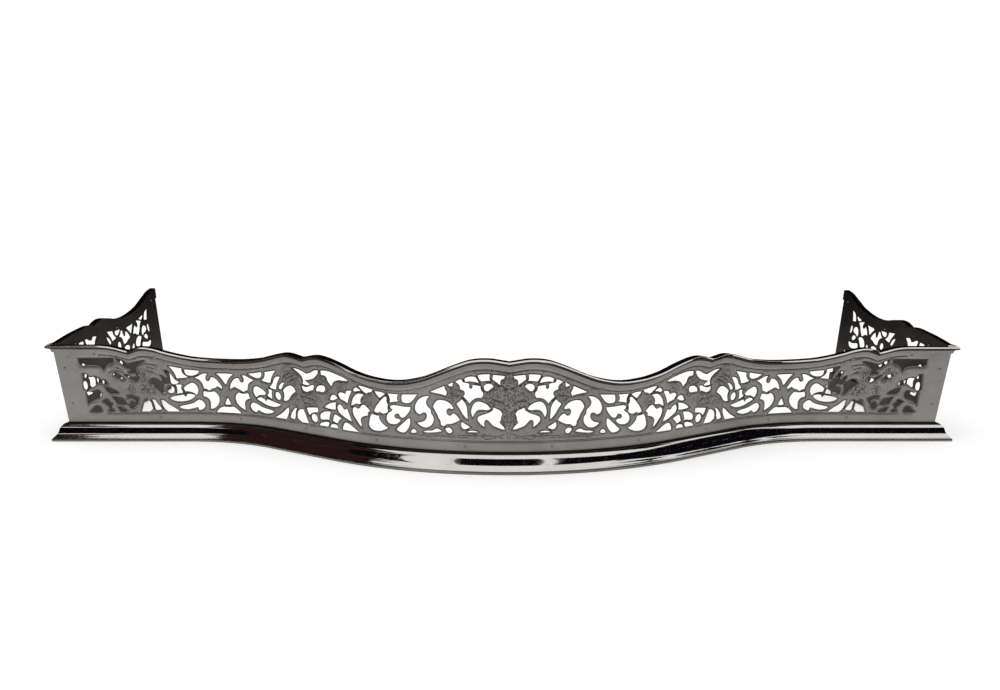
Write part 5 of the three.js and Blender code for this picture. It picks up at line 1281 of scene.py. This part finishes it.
world = bpy.data.worlds.new("studio")
bpy.context.scene.world = world
world.use_nodes = True
tree = world.node_tree
backdrop = tree.nodes["Background"]
backdrop.inputs["Color"].default_value = (1, 1, 1, 1)
level = add_node(tree, "ShaderNodeMapRange", {
    "Value": sees_backdrop(tree), "To Min": plain_level, "To Max": 1.0})
tree.links.new(level.outputs["Result"], backdrop.inputs["Strength"])


def flag_cloth(name, colour):
    """A dull dark cloth."""
    cloth, _, shader = new_material(name)
    shader.inputs["Base Color"].default_value = linear(colour)
    shader.inputs["Roughness"].default_value = 1.0
    shader.inputs["Specular IOR Level"].default_value = 0.0
    return cloth


def flag(name, cloth, near, far):
    """A dark cloth, upright or level between two corners, seen only in the steel's reflections."""
    (x0, y0, z0), (x1, y1, z1) = near, far
    level = z0 == z1
    second = (x1, y0 if level else y1, z0)
    fourth = (x0, y1 if level else y0, z1)
    mesh = bpy.data.meshes.new(name)
    mesh.from_pydata([(x0, y0, z0), second, (x1, y1, z1), fourth], [], [(0, 1, 2, 3)])
    mesh.materials.append(cloth)
    sheet = bpy.data.objects.new(name, mesh)
    bpy.context.collection.objects.link(sheet)
    sheet.visible_camera = False
    sheet.visible_diffuse = False
    sheet.visible_shadow = False


warm = flag_cloth("brown_flag_cloth", "#35221F")
dark = flag_cloth("black_flag_cloth", "#0C0C14")
front_of_flags = -0.75
flags = [
    # In front: low ones with two gaps, which leave the bright breaks in the hollow of the base.
    ("front_flag_left", dark, (-1.5, front_of_flags, 0.02), (-0.6, front_of_flags, 0.62)),
    ("front_flag_middle", dark, (-0.25, front_of_flags, 0.02), (0.18, front_of_flags, 0.43)),
    ("front_flag_right", dark, (0.25, front_of_flags, 0.02), (0.75, front_of_flags, 0.43)),
    ("front_flag_far_right", dark, (0.75, front_of_flags, 0.02), (1.5, front_of_flags, 0.62)),
    # At the sides: tall ones, which the slanting parts of the front show.
    ("left_flag", warm, (-1.4, -1.0, 0.0), (-1.4, 0.0, 1.3)),
    ("left_rear_flag", warm, (-1.4, 0.0, 0.0), (-1.4, 0.9, 1.65)),
    ("right_flag", dark, (1.4, -1.0, 0.0), (1.4, 0.0, 0.95)),
    # Behind: a long tall one, which the tops of the rim and of the base show.
    ("back_flag", dark, (-2.2, 0.75, 0.03), (2.2, 0.75, 4.6)),
    ("overhead_flag", dark, (-2.2, -0.68, 2.0), (2.2, 0.35, 2.0)),
    # Over the left corner: it dims the end of the base there.
    ("left_overhead_flag", warm, (-2.2, -1.2, 1.3), (-1.27, 0.3, 1.3)),
]
for name, cloth, near, far in flags:
    flag(name, cloth, near, far)

lamp_data = bpy.data.lights.new("overhead_softbox", "AREA")
lamp_data.shape = "RECTANGLE"
lamp_data.size = 2.4
lamp_data.size_y = 1.2
lamp_data.energy = 8
lamp = bpy.data.objects.new("overhead_softbox", lamp_data)
bpy.context.collection.objects.link(lamp)
lamp.visible_glossy = False
lamp.location = (-0.4, -0.6, 2.2)
lamp.rotation_euler = (Vector((0, 0, 0)) - lamp.location).to_track_quat("-Z", "Y").to_euler()

camera_data = bpy.data.cameras.new("camera")
camera_data.lens = 28.8
camera_data.sensor_width = 36
camera_data.sensor_fit = "HORIZONTAL"
camera = bpy.data.objects.new("camera", camera_data)
bpy.context.collection.objects.link(camera)
camera_spot = (-27.3, -1139, 304.5)    # from the middle of the two front corners
yaw, pitch, roll = -0.0161, 0.1451, 0.0041
level_right = Vector((math.cos(yaw), math.sin(yaw), 0))
level_ahead = Vector((-math.sin(yaw), math.cos(yaw), 0))
straight_up = Vector((0, 0, 1))
ahead = math.cos(pitch) * level_ahead - math.sin(pitch) * straight_up
above = math.sin(pitch) * level_ahead + math.cos(pitch) * straight_up
right = math.cos(roll) * level_right + math.sin(roll) * above
above = math.cos(roll) * above - math.sin(roll) * level_right
spot = Vector((camera_spot[0], camera_spot[1] + rear_of_plan, camera_spot[2])) / 1000
turned = Matrix((right, above, -ahead)).transposed().to_4x4()
camera.matrix_world = Matrix.Translation(spot) @ turned
bpy.context.scene.camera = camera
bpy.context.scene.view_settings.view_transform = "Standard"
